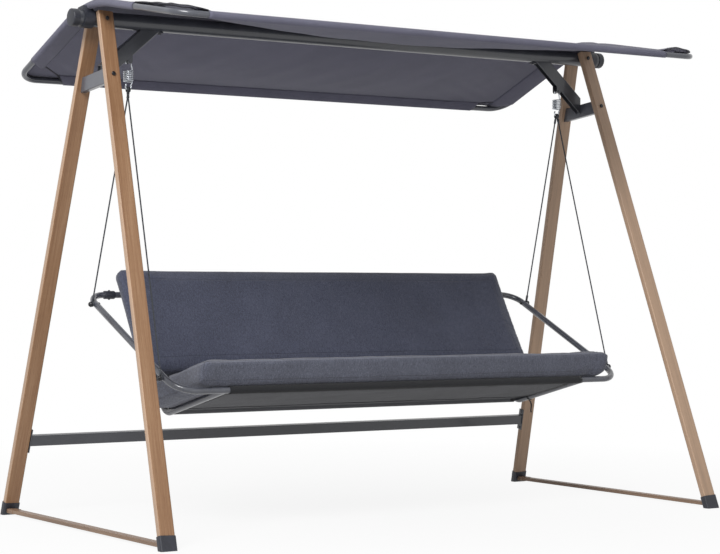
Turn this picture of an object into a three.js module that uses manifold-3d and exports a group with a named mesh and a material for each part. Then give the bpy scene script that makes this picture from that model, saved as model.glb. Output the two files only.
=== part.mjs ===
// Canopy swing bench. Two A-frame ends carry a round top beam. A bench of bent tube, sling
// fabric and cushions hangs on ropes and springs below it, and a canopy tilts on the beam.
// Millimetres, +X to the right, +Y to the back, +Z up, beam axis at Y = 0 until the last line.

import * as THREE from 'three';
import { mergeVertices } from 'three/addons/utils/BufferGeometryUtils.js';
import { RoundedBoxGeometry } from 'three/addons/geometries/RoundedBoxGeometry.js';
import Module from 'manifold-3d';

const wasm = await Module();
wasm.setup();

// Clearance between separate pieces that rest on each other.
const gap = 0.3;

// Widths, from the seat outwards: the arms clear the seat, the springs hang inside the
// arms, and the legs stand outside the springs.
const seatWidth = 1600;
const armFromSeat = 70; // to the arm tube's centre line
const springFromArm = 8; // inwards
const legFromSpring = 101.3; // outwards, at the beam's axis
const legSplay = 86.7; // foot further out than the leg's top
const armX = seatWidth / 2 + armFromSeat;
const springX = armX - springFromArm;
const topSpacing = 2 * (springX + legFromSpring); // between leg centres at the beam's axis
const footSpacing = topSpacing + 2 * legSplay; // the same at the floor

// Stand: legs and beam.
const frontReach = 604; // front foot centre ahead of the beam
const rearReach = 435; // rear foot centre behind the beam
const legWidth = 50;
const legThickness = 20;
const legCorner = 4;
const legWall = 1.5;
const legAboveBeam = 20;
const beamHeight = 1559; // axis above the floor
const beamRadius = 25;
const beamWall = 1.5;
const beamBeyondLegs = 94.7;
const beamHalfLength = topSpacing / 2 + beamBeyondLegs;
const beamSides = 16;
const beamCapWall = 1.8;
const beamCapTop = 4;
const beamCapLength = 18;

// Stand: foot caps, floor rails, crossbars, knee braces, stretcher.
const footHeight = 42; // along the leg
const footWall = 2.5;
const footSole = 8;
const railWidth = 30;
const railHeight = 12;
const railWall = 1.5;
const railLift = 7.5; // clear of the floor
const railCollarLength = 45; // thicker end piece at the rear foot
const railCollarWall = 1.2;
const railBoltFromFoot = 12;
const railBoltSpacing = 20;
const crossbarHeight = 46;
const crossbarThickness = 20;
const crossbarFrontDrop = 175.5; // centre line below the beam's axis at the front leg
const crossbarRearDrop = 198.5; // the same at the rear leg
const crossbarFrontHeight = beamHeight - crossbarFrontDrop;
const crossbarRearHeight = beamHeight - crossbarRearDrop;
const crossbarWall = 2;
const crossbarEndWall = 4;
const braceDepth = 45; // in the plane of the brace
const braceWidth = 24; // front to back
const braceWall = 2.5;
const braceEar = 9; // round the spring's pin
const braceEarRise = 22; // from the pin up into the brace's side
const braceFromSpring = 68; // inwards, where its centre line meets the beam's lower edge
const braceBeamX = springX - braceFromSpring;
const braceSlope = THREE.MathUtils.degToRad(40.5);
const braceTabReach = 42; // to the bolt of the tab under the beam
const braceTabX = braceBeamX - braceTabReach;
const braceTab = 4;
const springPinDrop = 121;
const springPinHeight = beamHeight - springPinDrop;
const springPinRadius = 4;
const stretcherHeight = 242;
const stretcherDepth = 35;
const stretcherThickness = 18;
const stretcherWall = 1.5;
const plateLength = 78;
const plateWidth = 24;
const plateThickness = 3;
const plateBoltSpacing = 62;

// Bolts.
const boltRadius = 4;
const boltClearance = 0.3;
const boltHeadRadius = 7;
const boltHeadHeight = 4;
const boltNutRadius = 6.8;
const boltNutHeight = 5.5;
const tabHeadRadius = 5.5;
const plateHeadRadius = 5;
const plateHeadHeight = 3;
const railHeadRadius = 3.5;
const railHeadHeight = 2.5;

// Springs.
const wireRadius = 2.25;
const wireSides = 5;
const hookRadius = 9.5; // of the wire's centre line
const coilRadius = 13.75; // of the wire's centre line
const coilTurns = 6;
const coilPitch = 5.6;
const coilTopDrop = 28; // below the pin
const benchPivotDrop = 60; // bottom hook's wire, where the ropes hang, below the coil's top
const coilTop = springPinHeight - coilTopDrop;
const benchPivotHeight = coilTop - benchPivotDrop;

// Bench tubes.
const tubeRadius = 10;
const tubeWall = 1.5;
const tubeSides = 10;
const armStraight = 5; // before its bends begin
const frontBar = new THREE.Vector2(-337, 430); // Y and Z of its centre
const backTopHeight = 790;
const backAboveBar = 81;
const rearBar = new THREE.Vector2(250, backTopHeight - backAboveBar);
const seatCorner = new THREE.Vector2(28, 336); // where the side rails' centre lines cross
const frontBend = 75;
const rearBend = 60;
const sideRailInset = 95; // from the seat cushion's side
const sideRailX = seatWidth / 2 - sideRailInset;
const sideRailBend = 45;
const sleeveLength = 36;
const sleeveWall = 2.5;

// Ropes.
const ropeRadius = 2.5;
const eyeRadius = 7; // of the rope's centre line
const ferruleRadius = 4;
const ferruleLength = 18;
const ropeBoltRadius = 3;
const ropeBoltHole = 3.4;
const frontRopeAlongArm = 86; // from the front bar's centre
const rearRopeFromBar = 66.9; // short of the rear bar's centre
const capNutRadius = 9;

// Fabric and cushions.
const fabric = 1.5;
const slingMargin = 2; // between a sling's edge and the side rail
const seatThickness = 80;
const seatOverhang = 26; // ahead of the front bar's centre, at the cushion's underside
const seatNose = 36; // the top of the cushion's front leans this far ahead of its foot
const backInset = 35; // narrower than the seat, on each side
const backWidth = seatWidth - 2 * backInset;
const backThickness = 60;
const cushionEdge = 20;
const tieLength = 46;
const tieWidth = 6;
const tieThickness = 1.2;
const tiePlace = 0.78; // share of the way from the front bar to the seat's rear corner

// Canopy.
const canopyTilt = THREE.MathUtils.degToRad(6.95); // front edge raised
const canopyTube = 9.5;
const canopyWall = 1.5;
const canopyFromLeg = 38.7;
const canopySideX = topSpacing / 2 + canopyFromLeg;
const canopyFrontReach = 563; // front tube's centre ahead of the beam, measured level
const canopyRearReach = 509; // rear tube's centre behind the beam
const canopySlope = THREE.MathUtils.degToRad(16.15);
const canopyArch = 523; // radius of the arch between the straight slopes
const canopySag = 39; // of the sheet's middle, below straight lines from the beam to the tubes
const canopyOnBeam = 5; // the sheet's top above the beam's, where it lies on it
const canopyBorder = 25; // of the sheet beside its sleeves, straight
const canopyCorner = 66;
const edgeJoint = 100; // straight end of a side tube after its corner bend
const sleeveStop = 175; // fabric sleeves stop this far from the corners
const clampWall = 1.5; // between beam and side tube
const clampCollar = 4.5;
const clampBlock = 34; // front to back
const clampInside = 10.5; // from the side tube's centre line
const clampOutside = 24;
const clampInnerX = canopySideX - clampInside;
const clampOuterX = canopySideX + clampOutside;

// Colours.
const finishes = {
  wood: { color: 0xa0704c, roughness: 0.5, metalness: 0.1 },
  blackPlastic: { color: 0x1c1e22, roughness: 0.5, metalness: 0 },
  beamPaint: { color: 0x2d2f35, roughness: 0.35, metalness: 0.3 },
  tubePaint: { color: 0x3c3e44, roughness: 0.35, metalness: 0.3 },
  zinc: { color: 0xb8bcc0, roughness: 0.3, metalness: 1 },
  rope: { color: 0x4a4c50, roughness: 0.5, metalness: 0.6 },
  sling: { color: 0x4b4d50, roughness: 0.9, metalness: 0 },
  canopy: { color: 0x585862, roughness: 0.85, metalness: 0 },
  seatFabric: { color: 0x545664, roughness: 0.95, metalness: 0 },
  backFabric: { color: 0x404250, roughness: 0.95, metalness: 0 },
};

const forward = new THREE.Vector3(0, -1, 0);
const backward = new THREE.Vector3(0, 1, 0);

function mesh(name, geometry, finish) {
  const flat = geometry.index ? geometry.toNonIndexed() : geometry;
  flat.computeVertexNormals();
  const made = new THREE.Mesh(flat, new THREE.MeshStandardMaterial(finishes[finish]));
  made.name = name;
  return made;
}

// Geometry to a solid that can be cut and joined, and back.
function solid(geometry) {
  const bare = new THREE.BufferGeometry();
  bare.setAttribute('position', geometry.getAttribute('position'));
  if (geometry.index) bare.setIndex(geometry.index);
  const merged = mergeVertices(bare, 1e-4);
  return new wasm.Manifold(new wasm.Mesh({
    numProp: 3,
    vertProperties: Float32Array.from(merged.attributes.position.array),
    triVerts: Uint32Array.from(merged.index.array),
  }));
}

function surface(manifold) {
  const cut = manifold.getMesh();
  const geometry = new THREE.BufferGeometry();
  geometry.setAttribute('position', new THREE.BufferAttribute(cut.vertProperties, 3));
  geometry.setIndex(new THREE.BufferAttribute(cut.triVerts, 1));
  return geometry;
}

// Closes up the edges, shorter than a hair, that a join of nearly flush faces leaves.
function tidied(geometry, shortest = 0.02) {
  const [places, index] = [geometry.getAttribute('position'), geometry.getIndex()];
  const point = (i) => new THREE.Vector3().fromBufferAttribute(places, i);
  const kept = Array.from({ length: places.count }, (_, i) => i);
  const keeper = (i) => (kept[i] === i ? i : keeper(kept[i]));
  const faces = Array.from({ length: index.count / 3 }, (_, i) =>
    [0, 1, 2].map((corner) => index.getX(3 * i + corner)));
  for (const face of faces) {
    face.forEach((a, i) => {
      const b = face[(i + 1) % 3];
      if (point(a).distanceTo(point(b)) < shortest) kept[keeper(b)] = keeper(a);
    });
  }
  const closed = faces.map((face) => face.map(keeper));
  geometry.setIndex(closed.filter((face) => new Set(face).size === 3).flat());
  return geometry;
}

// Profiles. A pipe's bore is plainer than its outside, a collar's fits round a tube.
function circle(radius, sides) {
  const corners = Array.from({ length: sides }, (_, i) => i / sides * 2 * Math.PI);
  return corners.map((angle) => new THREE.Vector2(Math.cos(angle), Math.sin(angle))
    .multiplyScalar(radius));
}

function disc(radius, sides) {
  return new THREE.Shape(circle(radius, sides));
}

function pipe(radius, wall, sides = tubeSides, boreSides = 6) {
  const shape = disc(radius, sides);
  shape.holes.push(new THREE.Path(circle(radius - wall, boreSides)));
  return shape;
}

// The radius of a many-sided bore whose flat sides clear a round tube.
function boreRadius(radius, sides = tubeSides) {
  return (radius + gap) / Math.cos(Math.PI / sides);
}

function collar(radius, wall, sides = tubeSides) {
  return pipe(boreRadius(radius, sides) + wall, wall, sides, sides);
}

function roundedPath(path, width, height, corner) {
  const x = width / 2 - corner;
  const y = height / 2 - corner;
  path.absarc(x, -y, corner, -Math.PI / 2, 0);
  path.absarc(x, y, corner, 0, Math.PI / 2);
  path.absarc(-x, y, corner, Math.PI / 2, Math.PI);
  path.absarc(-x, -y, corner, Math.PI, 1.5 * Math.PI);
  return path;
}

function roundedBox(width, height, corner, wall = 0) {
  const shape = roundedPath(new THREE.Shape(), width, height, corner);
  if (wall > 0) shape.holes.push(rectangle(width - 2 * wall, height - 2 * wall));
  return shape;
}

function rectangle(width, height) {
  return new THREE.Shape([[-1, -1], [1, -1], [1, 1], [-1, 1]].map(([x, y]) =>
    new THREE.Vector2(x * width / 2, y * height / 2)));
}

function extruded(shape, depth, curveSegments = 2) {
  return new THREE.ExtrudeGeometry(shape, { depth, curveSegments, bevelEnabled: false });
}

// The placement that turns +Z onto the line from one point to another.
function along(from, to, acrossHint = new THREE.Vector3(1, 0, 0)) {
  const up = to.clone().sub(from).normalize();
  const across = acrossHint.clone().addScaledVector(up, -up.dot(acrossHint)).normalize();
  const through = up.clone().cross(across);
  return new THREE.Matrix4().makeBasis(across, through, up).setPosition(from);
}

function rod(from, to, shape, acrossHint = undefined) {
  return extruded(shape, from.distanceTo(to)).applyMatrix4(along(from, to, acrossHint));
}

// A black piece turned about its own Y axis, from the radius and height of each edge.
function turned(name, edges, segments) {
  const profile = [...edges, edges[0]].map(([radius, height]) =>
    new THREE.Vector2(radius, height));
  return mesh(name, surface(solid(new THREE.LatheGeometry(profile, segments))), 'blackPlastic');
}

function group(...children) {
  const made = new THREE.Group();
  made.add(...children);
  return made;
}

// A bent line of points, sampled only where it bends.
class BentLine extends THREE.Curve {
  constructor(points) {
    super();
    this.points = points;
  }

  getPoint(t, target = new THREE.Vector3()) {
    const place = t * (this.points.length - 1);
    const index = Math.min(Math.floor(place), this.points.length - 2);
    return target.lerpVectors(this.points[index], this.points[index + 1], place - index);
  }

  getTangent(t, target = new THREE.Vector3()) {
    const last = this.points.length - 1;
    const index = Math.round(t * last);
    const before = this.points[Math.max(index - 1, 0)];
    const after = this.points[Math.min(index + 1, last)];
    const here = this.points[index];
    const into = here.clone().sub(before).normalize();
    const out = after.clone().sub(here).normalize();
    return target.copy(into).add(out).normalize();
  }

  getUtoTmapping(u) {
    return u;
  }
}

function tube(points, shape) {
  return new THREE.ExtrudeGeometry(shape, {
    steps: points.length - 1,
    curveSegments: 1,
    extrudePath: new BentLine(points),
  });
}

// The points of a line with one rounded corner for each given corner point.
function bent(start, corners, end, steps = 5) {
  const points = [start];
  corners.forEach(({ at, radius }, i) => {
    const before = (i === 0 ? start : corners[i - 1].at).clone().sub(at).normalize();
    const after = (i === corners.length - 1 ? end : corners[i + 1].at).clone().sub(at).normalize();
    const half = before.angleTo(after) / 2;
    const middle = before.clone().add(after).normalize();
    const centre = at.clone().addScaledVector(middle, radius / Math.sin(half));
    const from = at.clone().addScaledVector(before, radius / Math.tan(half)).sub(centre);
    const axis = before.clone().cross(after).normalize();
    const turn = Math.PI - 2 * half;
    for (let step = 0; step <= steps; step += 1) {
      points.push(from.clone().applyAxisAngle(axis, -turn * step / steps).add(centre));
    }
  });
  points.push(end);
  return points;
}

// Legs. Each leans in two planes and passes the beam with its flat side against it.
const legDistance = beamRadius + gap + legThickness / 2;
const boltHole = boltRadius + boltClearance;

function legPlacement(side, front) {
  const reach = front ? frontReach : rearReach;
  const deviation = Math.asin(legDistance / Math.hypot(reach, beamHeight));
  const lean = Math.atan(reach / beamHeight) - deviation;
  const back = front ? -1 : 1;
  const foot = new THREE.Vector3(side * footSpacing / 2, back * reach, 0);
  const top = new THREE.Vector3(
    side * topSpacing / 2,
    back * (reach - beamHeight * Math.tan(lean)),
    beamHeight,
  );
  return along(foot, top);
}

// A block that follows a leg, grown on all sides, to cut what meets it.
function legBlock(placement, grow, from, to) {
  const shape = roundedBox(legWidth + 2 * grow, legThickness + 2 * grow, legCorner + grow);
  return solid(extruded(shape, to - from).translate(0, 0, from).applyMatrix4(placement));
}

function legLength(placement) {
  return (beamHeight + legAboveBeam) / placement.elements[10];
}

function onLeg(side, front, height) {
  const placement = legPlacement(side, front);
  const up = height / placement.elements[10];
  return new THREE.Vector3(0, 0, up).applyMatrix4(placement);
}

function crossbarEnds(side) {
  return [onLeg(side, true, crossbarFrontHeight), onLeg(side, false, crossbarRearHeight)];
}

// The bore through both legs and the beam.
function beamBore(side, reach) {
  const x = side * topSpacing / 2;
  const from = new THREE.Vector3(x, -reach, beamHeight);
  return solid(rod(from, from.clone().setY(reach), disc(boltHole, 12)));
}

function leg(name, side, front) {
  const placement = legPlacement(side, front);
  const length = legLength(placement) - footSole - gap;
  const inside = rectangle(legWidth - 2 * legWall, legThickness - 2 * legWall);
  const home = placement.clone();
  home.multiply(new THREE.Matrix4().makeTranslation(0, 0, footSole + gap));
  const outer = solid(extruded(roundedBox(legWidth, legThickness, legCorner), length));
  const hollow = solid(extruded(inside, length - legWall + 1).translate(0, 0, -1));
  const holes = [beamBore(side, legDistance * 2.5)];
  if (front) {
    const [start, end] = crossbarEnds(side);
    const out = start.clone().lerp(end, -0.3);
    holes.push(solid(rod(out, start.clone().lerp(end, 0.5), disc(boltHole, 12))));
  }
  const toHome = home.clone().invert();
  let shape = outer.subtract(hollow);
  for (const hole of holes) shape = shape.subtract(hole.transform(toHome.elements));
  const made = mesh(`leg_${name}`, surface(shape), 'wood');
  made.applyMatrix4(home);
  return made;
}

// Foot caps: a cup on the leg's end, cut off flat at the floor.
function footCap(name, side, front) {
  const placement = legPlacement(side, front);
  const outer = legBlock(placement, footWall, -footHeight, footHeight);
  const pocket = legBlock(placement, gap, footSole, 2 * footHeight);
  const below = solid(new THREE.BoxGeometry(4 * legWidth, 4 * legWidth, 2 * footHeight)
    .translate(side * footSpacing / 2, front ? -frontReach : rearReach, -footHeight));
  return mesh(`foot_${name}`, surface(outer.subtract(pocket).subtract(below)), 'blackPlastic');
}

// Floor rails: flat tube between the two foot caps, with a collar at the rear foot and
// bolts through its sides near both feet.
function floorRail(name, side) {
  const middle = railLift + railHeight / 2;
  const start = new THREE.Vector3(side * footSpacing / 2, -frontReach, middle);
  const end = start.clone().setY(rearReach);
  const footHalf = legThickness / 2 + footWall;
  const collarStart = end.clone().setY(rearReach - footHalf - railCollarLength);
  let shape = solid(rod(start, end, roundedBox(railWidth, railHeight, 2, railWall)));
  shape = shape.add(solid(rod(collarStart, end, roundedBox(
    railWidth + 2 * railCollarWall,
    railHeight + 2 * railCollarWall,
    3,
    railCollarWall + railWall / 2,
  ))));
  const rearBolt = end.y - footHalf - railBoltFromFoot;
  const frontBolt = start.y + footHalf + railBoltFromFoot;
  for (const y of [frontBolt, rearBolt, rearBolt - railBoltSpacing]) {
    const inner = new THREE.Vector3(start.x - side * (railWidth / 2 - railWall / 2), y, middle);
    const head = inner.clone();
    head.x -= side * (railWall / 2 + railCollarWall + railHeadHeight);
    shape = shape.add(solid(rod(inner, head, disc(railHeadRadius, 8), backward)));
  }
  for (const front of [true, false]) {
    const foot = legPlacement(side, front);
    shape = shape.subtract(legBlock(foot, footWall + gap, -footHeight, 2 * footHeight));
  }
  return mesh(`floor_rail_${name}`, surface(shape), 'wood');
}

// Beam, drilled for the bolts through the legs, with a cup-shaped cap on each end.
function beam() {
  const start = new THREE.Vector3(-beamHalfLength, 0, beamHeight);
  const end = start.clone().setX(beamHalfLength);
  let shape = solid(rod(start, end, pipe(beamRadius, beamWall, beamSides, 12), backward));
  for (const side of [-1, 1]) shape = shape.subtract(beamBore(side, 2 * beamRadius));
  return mesh('beam', surface(shape), 'beamPaint');
}

function beamCap(name, side) {
  const inner = boreRadius(beamRadius, beamSides);
  const outer = inner + beamCapWall;
  const top = gap + beamCapTop;
  const made = turned(`beam_cap_${name}`, [
    [0, gap], [inner, gap], [inner, -beamCapLength], [outer, -beamCapLength],
    [outer, top - 3], [outer - 1, top - 0.8], [outer - 3.5, top], [0, top],
  ], beamSides);
  made.position.set(side * beamHalfLength, 0, beamHeight);
  made.rotation.z = -side * Math.PI / 2;
  return made;
}

// Crossbars: rectangular tube with closed ends between the legs of an A-frame.
function crossbar(name, side) {
  const [start, end] = crossbarEnds(side);
  const inside = rectangle(
    crossbarThickness - 2 * crossbarWall,
    crossbarHeight - 2 * crossbarWall,
  );
  let outer = solid(rod(start, end, roundedBox(crossbarThickness, crossbarHeight, 3)));
  let inner = solid(rod(start, end, inside));
  for (const front of [true, false]) {
    const placement = legPlacement(side, front);
    const length = legLength(placement);
    outer = outer.subtract(legBlock(placement, gap, 0, length));
    inner = inner.subtract(legBlock(placement, gap + crossbarEndWall, 0, length));
  }
  const hole = solid(rod(start, start.clone().lerp(end, 0.5), disc(boltHole, 12)));
  return mesh(`crossbar_${name}`, surface(outer.subtract(inner).subtract(hole)), 'beamPaint');
}

// A bolt with its head at one end and its nut at the other.
function bolt(name, from, to) {
  const length = from.distanceTo(to);
  const made = turned(name, [
    [0, -boltHeadHeight], [boltHeadRadius * 0.75, -boltHeadHeight],
    [boltHeadRadius, -boltHeadHeight * 0.6], [boltHeadRadius, 0], [boltRadius, 0],
    [boltRadius, length], [boltNutRadius, length], [boltNutRadius, length + boltNutHeight],
    [0, length + boltNutHeight],
  ], 8);
  made.applyMatrix4(along(from, to).multiply(new THREE.Matrix4().makeRotationX(Math.PI / 2)));
  return made;
}

// The point where a line leaves a leg's flat face, far enough for a round head to clear it.
function legFace(side, front, from, direction, headRadius) {
  const placement = legPlacement(side, front);
  const normal = new THREE.Vector3().setFromMatrixColumn(placement, 1);
  const foot = new THREE.Vector3().setFromMatrixPosition(placement);
  const slope = direction.dot(normal);
  const face = Math.sign(slope) * (legThickness / 2 + gap);
  const reach = (face - from.clone().sub(foot).dot(normal)) / slope;
  const tilt = headRadius * Math.tan(Math.acos(Math.abs(slope)));
  return from.clone().addScaledVector(direction, reach + tilt);
}

function beamBolt(name, side) {
  const centre = new THREE.Vector3(side * topSpacing / 2, 0, beamHeight);
  const from = legFace(side, true, centre, forward, boltHeadRadius);
  const to = legFace(side, false, centre, backward, boltNutRadius);
  return bolt(`beam_bolt_${name}`, from, to);
}

function crossbarBolt(name, side) {
  const [start, end] = crossbarEnds(side);
  const outward = start.clone().sub(end).normalize();
  const inward = outward.clone().negate();
  const from = legFace(side, true, start, outward, boltHeadRadius);
  const to = legFace(side, true, start, inward, boltNutRadius)
    .addScaledVector(inward, crossbarEndWall + gap);
  return bolt(`crossbar_bolt_${name}`, from, to);
}

// Knee braces: a channel open below, saddled to the beam, with an ear under each side that
// holds the pin for the spring, and a bolted tab under the beam.
function kneeBrace(name, side) {
  const lowerEdge = beamHeight - beamRadius;
  const barX = Math.abs(crossbarEnds(side)[0].x) - crossbarThickness / 2 - gap;
  const down = new THREE.Vector3(side * Math.cos(braceSlope), 0, -Math.sin(braceSlope));
  const above = new THREE.Vector3(side * Math.sin(braceSlope), 0, Math.cos(braceSlope));
  const centre = new THREE.Vector3(side * braceBeamX, 0, lowerEdge);
  const start = centre.clone().addScaledVector(down, -braceDepth);
  const end = centre.clone().addScaledVector(down, 2 * (barX - braceBeamX));
  const hollow = rectangle(braceWidth - 2 * braceWall, 2 * braceDepth);
  const fall = braceWall + braceDepth / 2;
  const outer = solid(rod(start, end, roundedBox(braceWidth, braceDepth, 3), backward));
  const inner = solid(rod(
    start.addScaledVector(above, -fall),
    end.addScaledVector(above, -fall),
    hollow,
    backward,
  ));
  const saddle = solid(rod(
    new THREE.Vector3(-beamHalfLength, 0, beamHeight),
    new THREE.Vector3(beamHalfLength, 0, beamHeight),
    disc(boreRadius(beamRadius, beamSides), beamSides),
    backward,
  ));
  const reach = 4 * beamRadius;
  const overBeam = solid(new THREE.BoxGeometry(8 * reach, 2 * reach, 2 * reach)
    .translate(side * braceBeamX, 0, beamHeight + reach));
  const pastBar = solid(new THREE.BoxGeometry(4 * reach, 2 * reach, 8 * reach)
    .translate(side * (barX + 2 * reach), 0, crossbarFrontHeight));
  const earSide = new THREE.Vector3(
    side * springX,
    braceWidth / 2,
    springPinHeight + braceEarRise / 2,
  );
  const ears = solid(rod(
    earSide.clone().setY(-earSide.y),
    earSide,
    roundedBox(2 * braceEar, 2 * braceEar + braceEarRise, braceEar - 0.5),
  ));
  const pinEnd = new THREE.Vector3(side * springX, braceWidth / 2 + 2, springPinHeight);
  const pin = solid(rod(pinEnd.clone().setY(-pinEnd.y), pinEnd, disc(springPinRadius, 12)));
  const tabX = braceTabX - boltHeadRadius;
  const tab = solid(new THREE.BoxGeometry(braceBeamX - tabX, braceWidth - braceWall, braceTab)
    .translate(side * (braceBeamX + tabX) / 2, 0, lowerEdge - braceTab / 2));
  const tabBolt = solid(new THREE.CylinderGeometry(tabHeadRadius, tabHeadRadius, boltHeadHeight, 8)
    .rotateX(Math.PI / 2)
    .translate(side * braceTabX, 0, lowerEdge - braceTab - boltHeadHeight / 2 + 0.5));
  const shape = outer.add(ears).subtract(inner).subtract(overBeam).add(tab).add(tabBolt)
    .subtract(saddle).subtract(pastBar).add(pin);
  return mesh(`knee_brace_${name}`, surface(shape), 'beamPaint');
}

// Stretcher between the rear legs, and the plates that bolt it to them.
function platePlacement(side) {
  const leg = legPlacement(side, false);
  const inward = -side * (legWidth / 2 + gap + plateThickness / 2);
  const height = stretcherHeight / leg.elements[10];
  return leg.multiply(new THREE.Matrix4().makeTranslation(inward, 0, height));
}

function stretcherPlate(name, side) {
  let shape = solid(new THREE.BoxGeometry(plateThickness, plateWidth, plateLength));
  for (const z of [-plateBoltSpacing / 2, plateBoltSpacing / 2]) {
    const centre = new THREE.Vector3(0, 0, z);
    const head = new THREE.Vector3(-side * (plateThickness / 2 + plateHeadHeight), 0, z);
    shape = shape.add(solid(rod(centre, head, disc(plateHeadRadius, 8), backward)));
  }
  const made = mesh(`stretcher_plate_${name}`, surface(shape), 'beamPaint');
  made.applyMatrix4(platePlacement(side));
  return made;
}

function stretcher() {
  const [from, to] = [-1, 1].map((side) =>
    new THREE.Vector3().setFromMatrixPosition(platePlacement(side)));
  const lean = new THREE.Vector3().setFromMatrixColumn(platePlacement(1), 1).setX(0).normalize();
  const profile = roundedBox(stretcherThickness, stretcherDepth, 2, stretcherWall);
  let shape = solid(rod(from, to, profile, lean));
  for (const side of [-1, 1]) {
    const beyond = new THREE.BoxGeometry(plateLength, plateLength, 2 * plateLength)
      .translate(side * (plateLength - plateThickness - 2 * gap) / 2, 0, 0)
      .applyMatrix4(platePlacement(side));
    shape = shape.subtract(solid(beyond));
  }
  return mesh('stretcher', surface(shape), 'beamPaint');
}

// Springs. The top hook hangs on the brace's pin, the bottom hook carries the ropes.
const springPivotHeight = springPinHeight + springPinRadius + wireRadius + gap;
const coilBottom = coilTop - coilTurns * coilPitch - 2 * wireRadius;

// From the coil's rim up to the hook's side and round it, open at the last quarter.
function hookPoints(rise) {
  const points = [new THREE.Vector3(coilRadius, 0, 0)];
  const firstAngle = -0.35;
  const sweep = Math.PI + 1.1;
  const steps = 10;
  for (let step = 0; step <= steps; step += 1) {
    const angle = firstAngle + step / steps * sweep;
    const x = hookRadius * Math.cos(angle);
    points.push(new THREE.Vector3(x, 0, rise + hookRadius * Math.sin(angle)));
  }
  return points;
}

function hook(name, fromHeight, pivotHeight) {
  const up = Math.sign(pivotHeight - fromHeight);
  const rise = Math.abs(pivotHeight - fromHeight) - hookRadius - gap;
  const made = mesh(name, tube(hookPoints(rise), disc(wireRadius, wireSides)), 'zinc');
  made.position.z = fromHeight + up * gap;
  if (up < 0) made.rotation.x = Math.PI;
  return made;
}

function coilPoints() {
  const perTurn = 10;
  const steps = coilTurns * perTurn;
  return Array.from({ length: steps + 1 }, (_, step) => {
    const angle = step / perTurn * 2 * Math.PI;
    return new THREE.Vector3(
      coilRadius * Math.cos(angle),
      coilRadius * Math.sin(angle),
      coilBottom + wireRadius + step / perTurn * coilPitch,
    );
  });
}

function spring(name, side) {
  const made = group(
    hook(`spring_hook_top_${name}`, coilTop, springPivotHeight),
    mesh(`spring_coil_${name}`, tube(coilPoints(), disc(wireRadius, wireSides)), 'zinc'),
    hook(`spring_hook_bottom_${name}`, coilBottom, benchPivotHeight),
  );
  made.position.x = side * springX;
  return made;
}

// Points of the bench from its side view, and on an arm by distance from the front bar.
function inSide(x, point) {
  return new THREE.Vector3(x, point.x, point.y);
}

const armDirection = rearBar.clone().sub(frontBar).normalize();
const armLength = frontBar.distanceTo(rearBar);
const rearRopeAlongArm = armLength - rearRopeFromBar;

function onArm(x, distance) {
  return inSide(x, frontBar.clone().addScaledVector(armDirection, distance));
}

function rodAcross(point, fromX, toX, shape) {
  return rod(inSide(fromX, point), inSide(toX, point), shape, backward);
}

const frontBarEnd = armX - frontBend - armStraight;
const rearBarEnd = armX - rearBend - sleeveLength / 2;

function arm(name, side) {
  const x = side * armX;
  const start = onArm(side * (frontBarEnd + gap), 0);
  const end = onArm(side * (rearBarEnd + gap), armLength);
  const corners = [
    { at: onArm(x, 0), radius: frontBend },
    { at: onArm(x, armLength), radius: rearBend },
  ];
  let shape = solid(tube(bent(start, corners, end), pipe(tubeRadius, tubeWall)));
  for (const distance of [frontRopeAlongArm, rearRopeAlongArm]) {
    const from = onArm(x - 2 * tubeRadius, distance);
    const hole = rod(from, onArm(x + 2 * tubeRadius, distance), disc(ropeBoltHole, 8), backward);
    shape = shape.subtract(solid(hole));
  }
  return mesh(`arm_${name}`, surface(shape), 'tubePaint');
}

function barAcross(name, point, half) {
  const bar = rodAcross(new THREE.Vector2(), -half, half, pipe(tubeRadius, tubeWall));
  const made = mesh(name, bar, 'tubePaint');
  made.position.copy(inSide(0, point));
  return made;
}

// Sleeves that join the rear bar to the arms, each with a pin through it.
function rearSleeve(name, side) {
  const half = sleeveLength / 2;
  const ring = rodAcross(new THREE.Vector2(), -half, half, collar(tubeRadius, sleeveWall));
  const surfaceAt = boreRadius(tubeRadius) + sleeveWall;
  let shape = solid(ring);
  for (const z of [surfaceAt, -surfaceAt]) {
    shape = shape.add(solid(new THREE.CylinderGeometry(3.5, 3.5, 4, 8)
      .rotateX(Math.PI / 2)
      .translate(0, 0, z)));
  }
  const made = mesh(`rear_sleeve_${name}`, surface(shape), 'blackPlastic');
  made.position.copy(inSide(side * rearBarEnd, rearBar));
  return made;
}

// Side rails: L-shaped, notched to sit on the front bar and the rear bar.
function sideRail(name, side) {
  const x = side * sideRailX;
  const corners = [{ at: inSide(x, seatCorner), radius: sideRailBend }];
  const line = bent(inSide(x, frontBar), corners, inSide(x, rearBar));
  let shape = solid(tube(line, pipe(tubeRadius, tubeWall)));
  for (const bar of [frontBar, rearBar]) {
    const notch = disc(boreRadius(tubeRadius), tubeSides);
    shape = shape.subtract(solid(rodAcross(bar, -armX, armX, notch)));
  }
  return mesh(`side_rail_${name}`, surface(shape), 'tubePaint');
}

// Unit directions of seat and back in the side view, and the bar in their corner.
const seatDirection = frontBar.clone().sub(seatCorner).normalize();
const backDirection = rearBar.clone().sub(seatCorner).normalize();
const cornerHalf = Math.acos(seatDirection.dot(backDirection)) / 2;
const cornerDirection = seatDirection.clone().add(backDirection).normalize();
const cornerInset = sideRailBend / Math.sin(cornerHalf) - sideRailBend;
const lowerBar = seatCorner.clone().addScaledVector(cornerDirection, cornerInset);
const slingHalf = sideRailX - tubeRadius - slingMargin;
const hemRadius = boreRadius(tubeRadius) + fabric;

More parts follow.
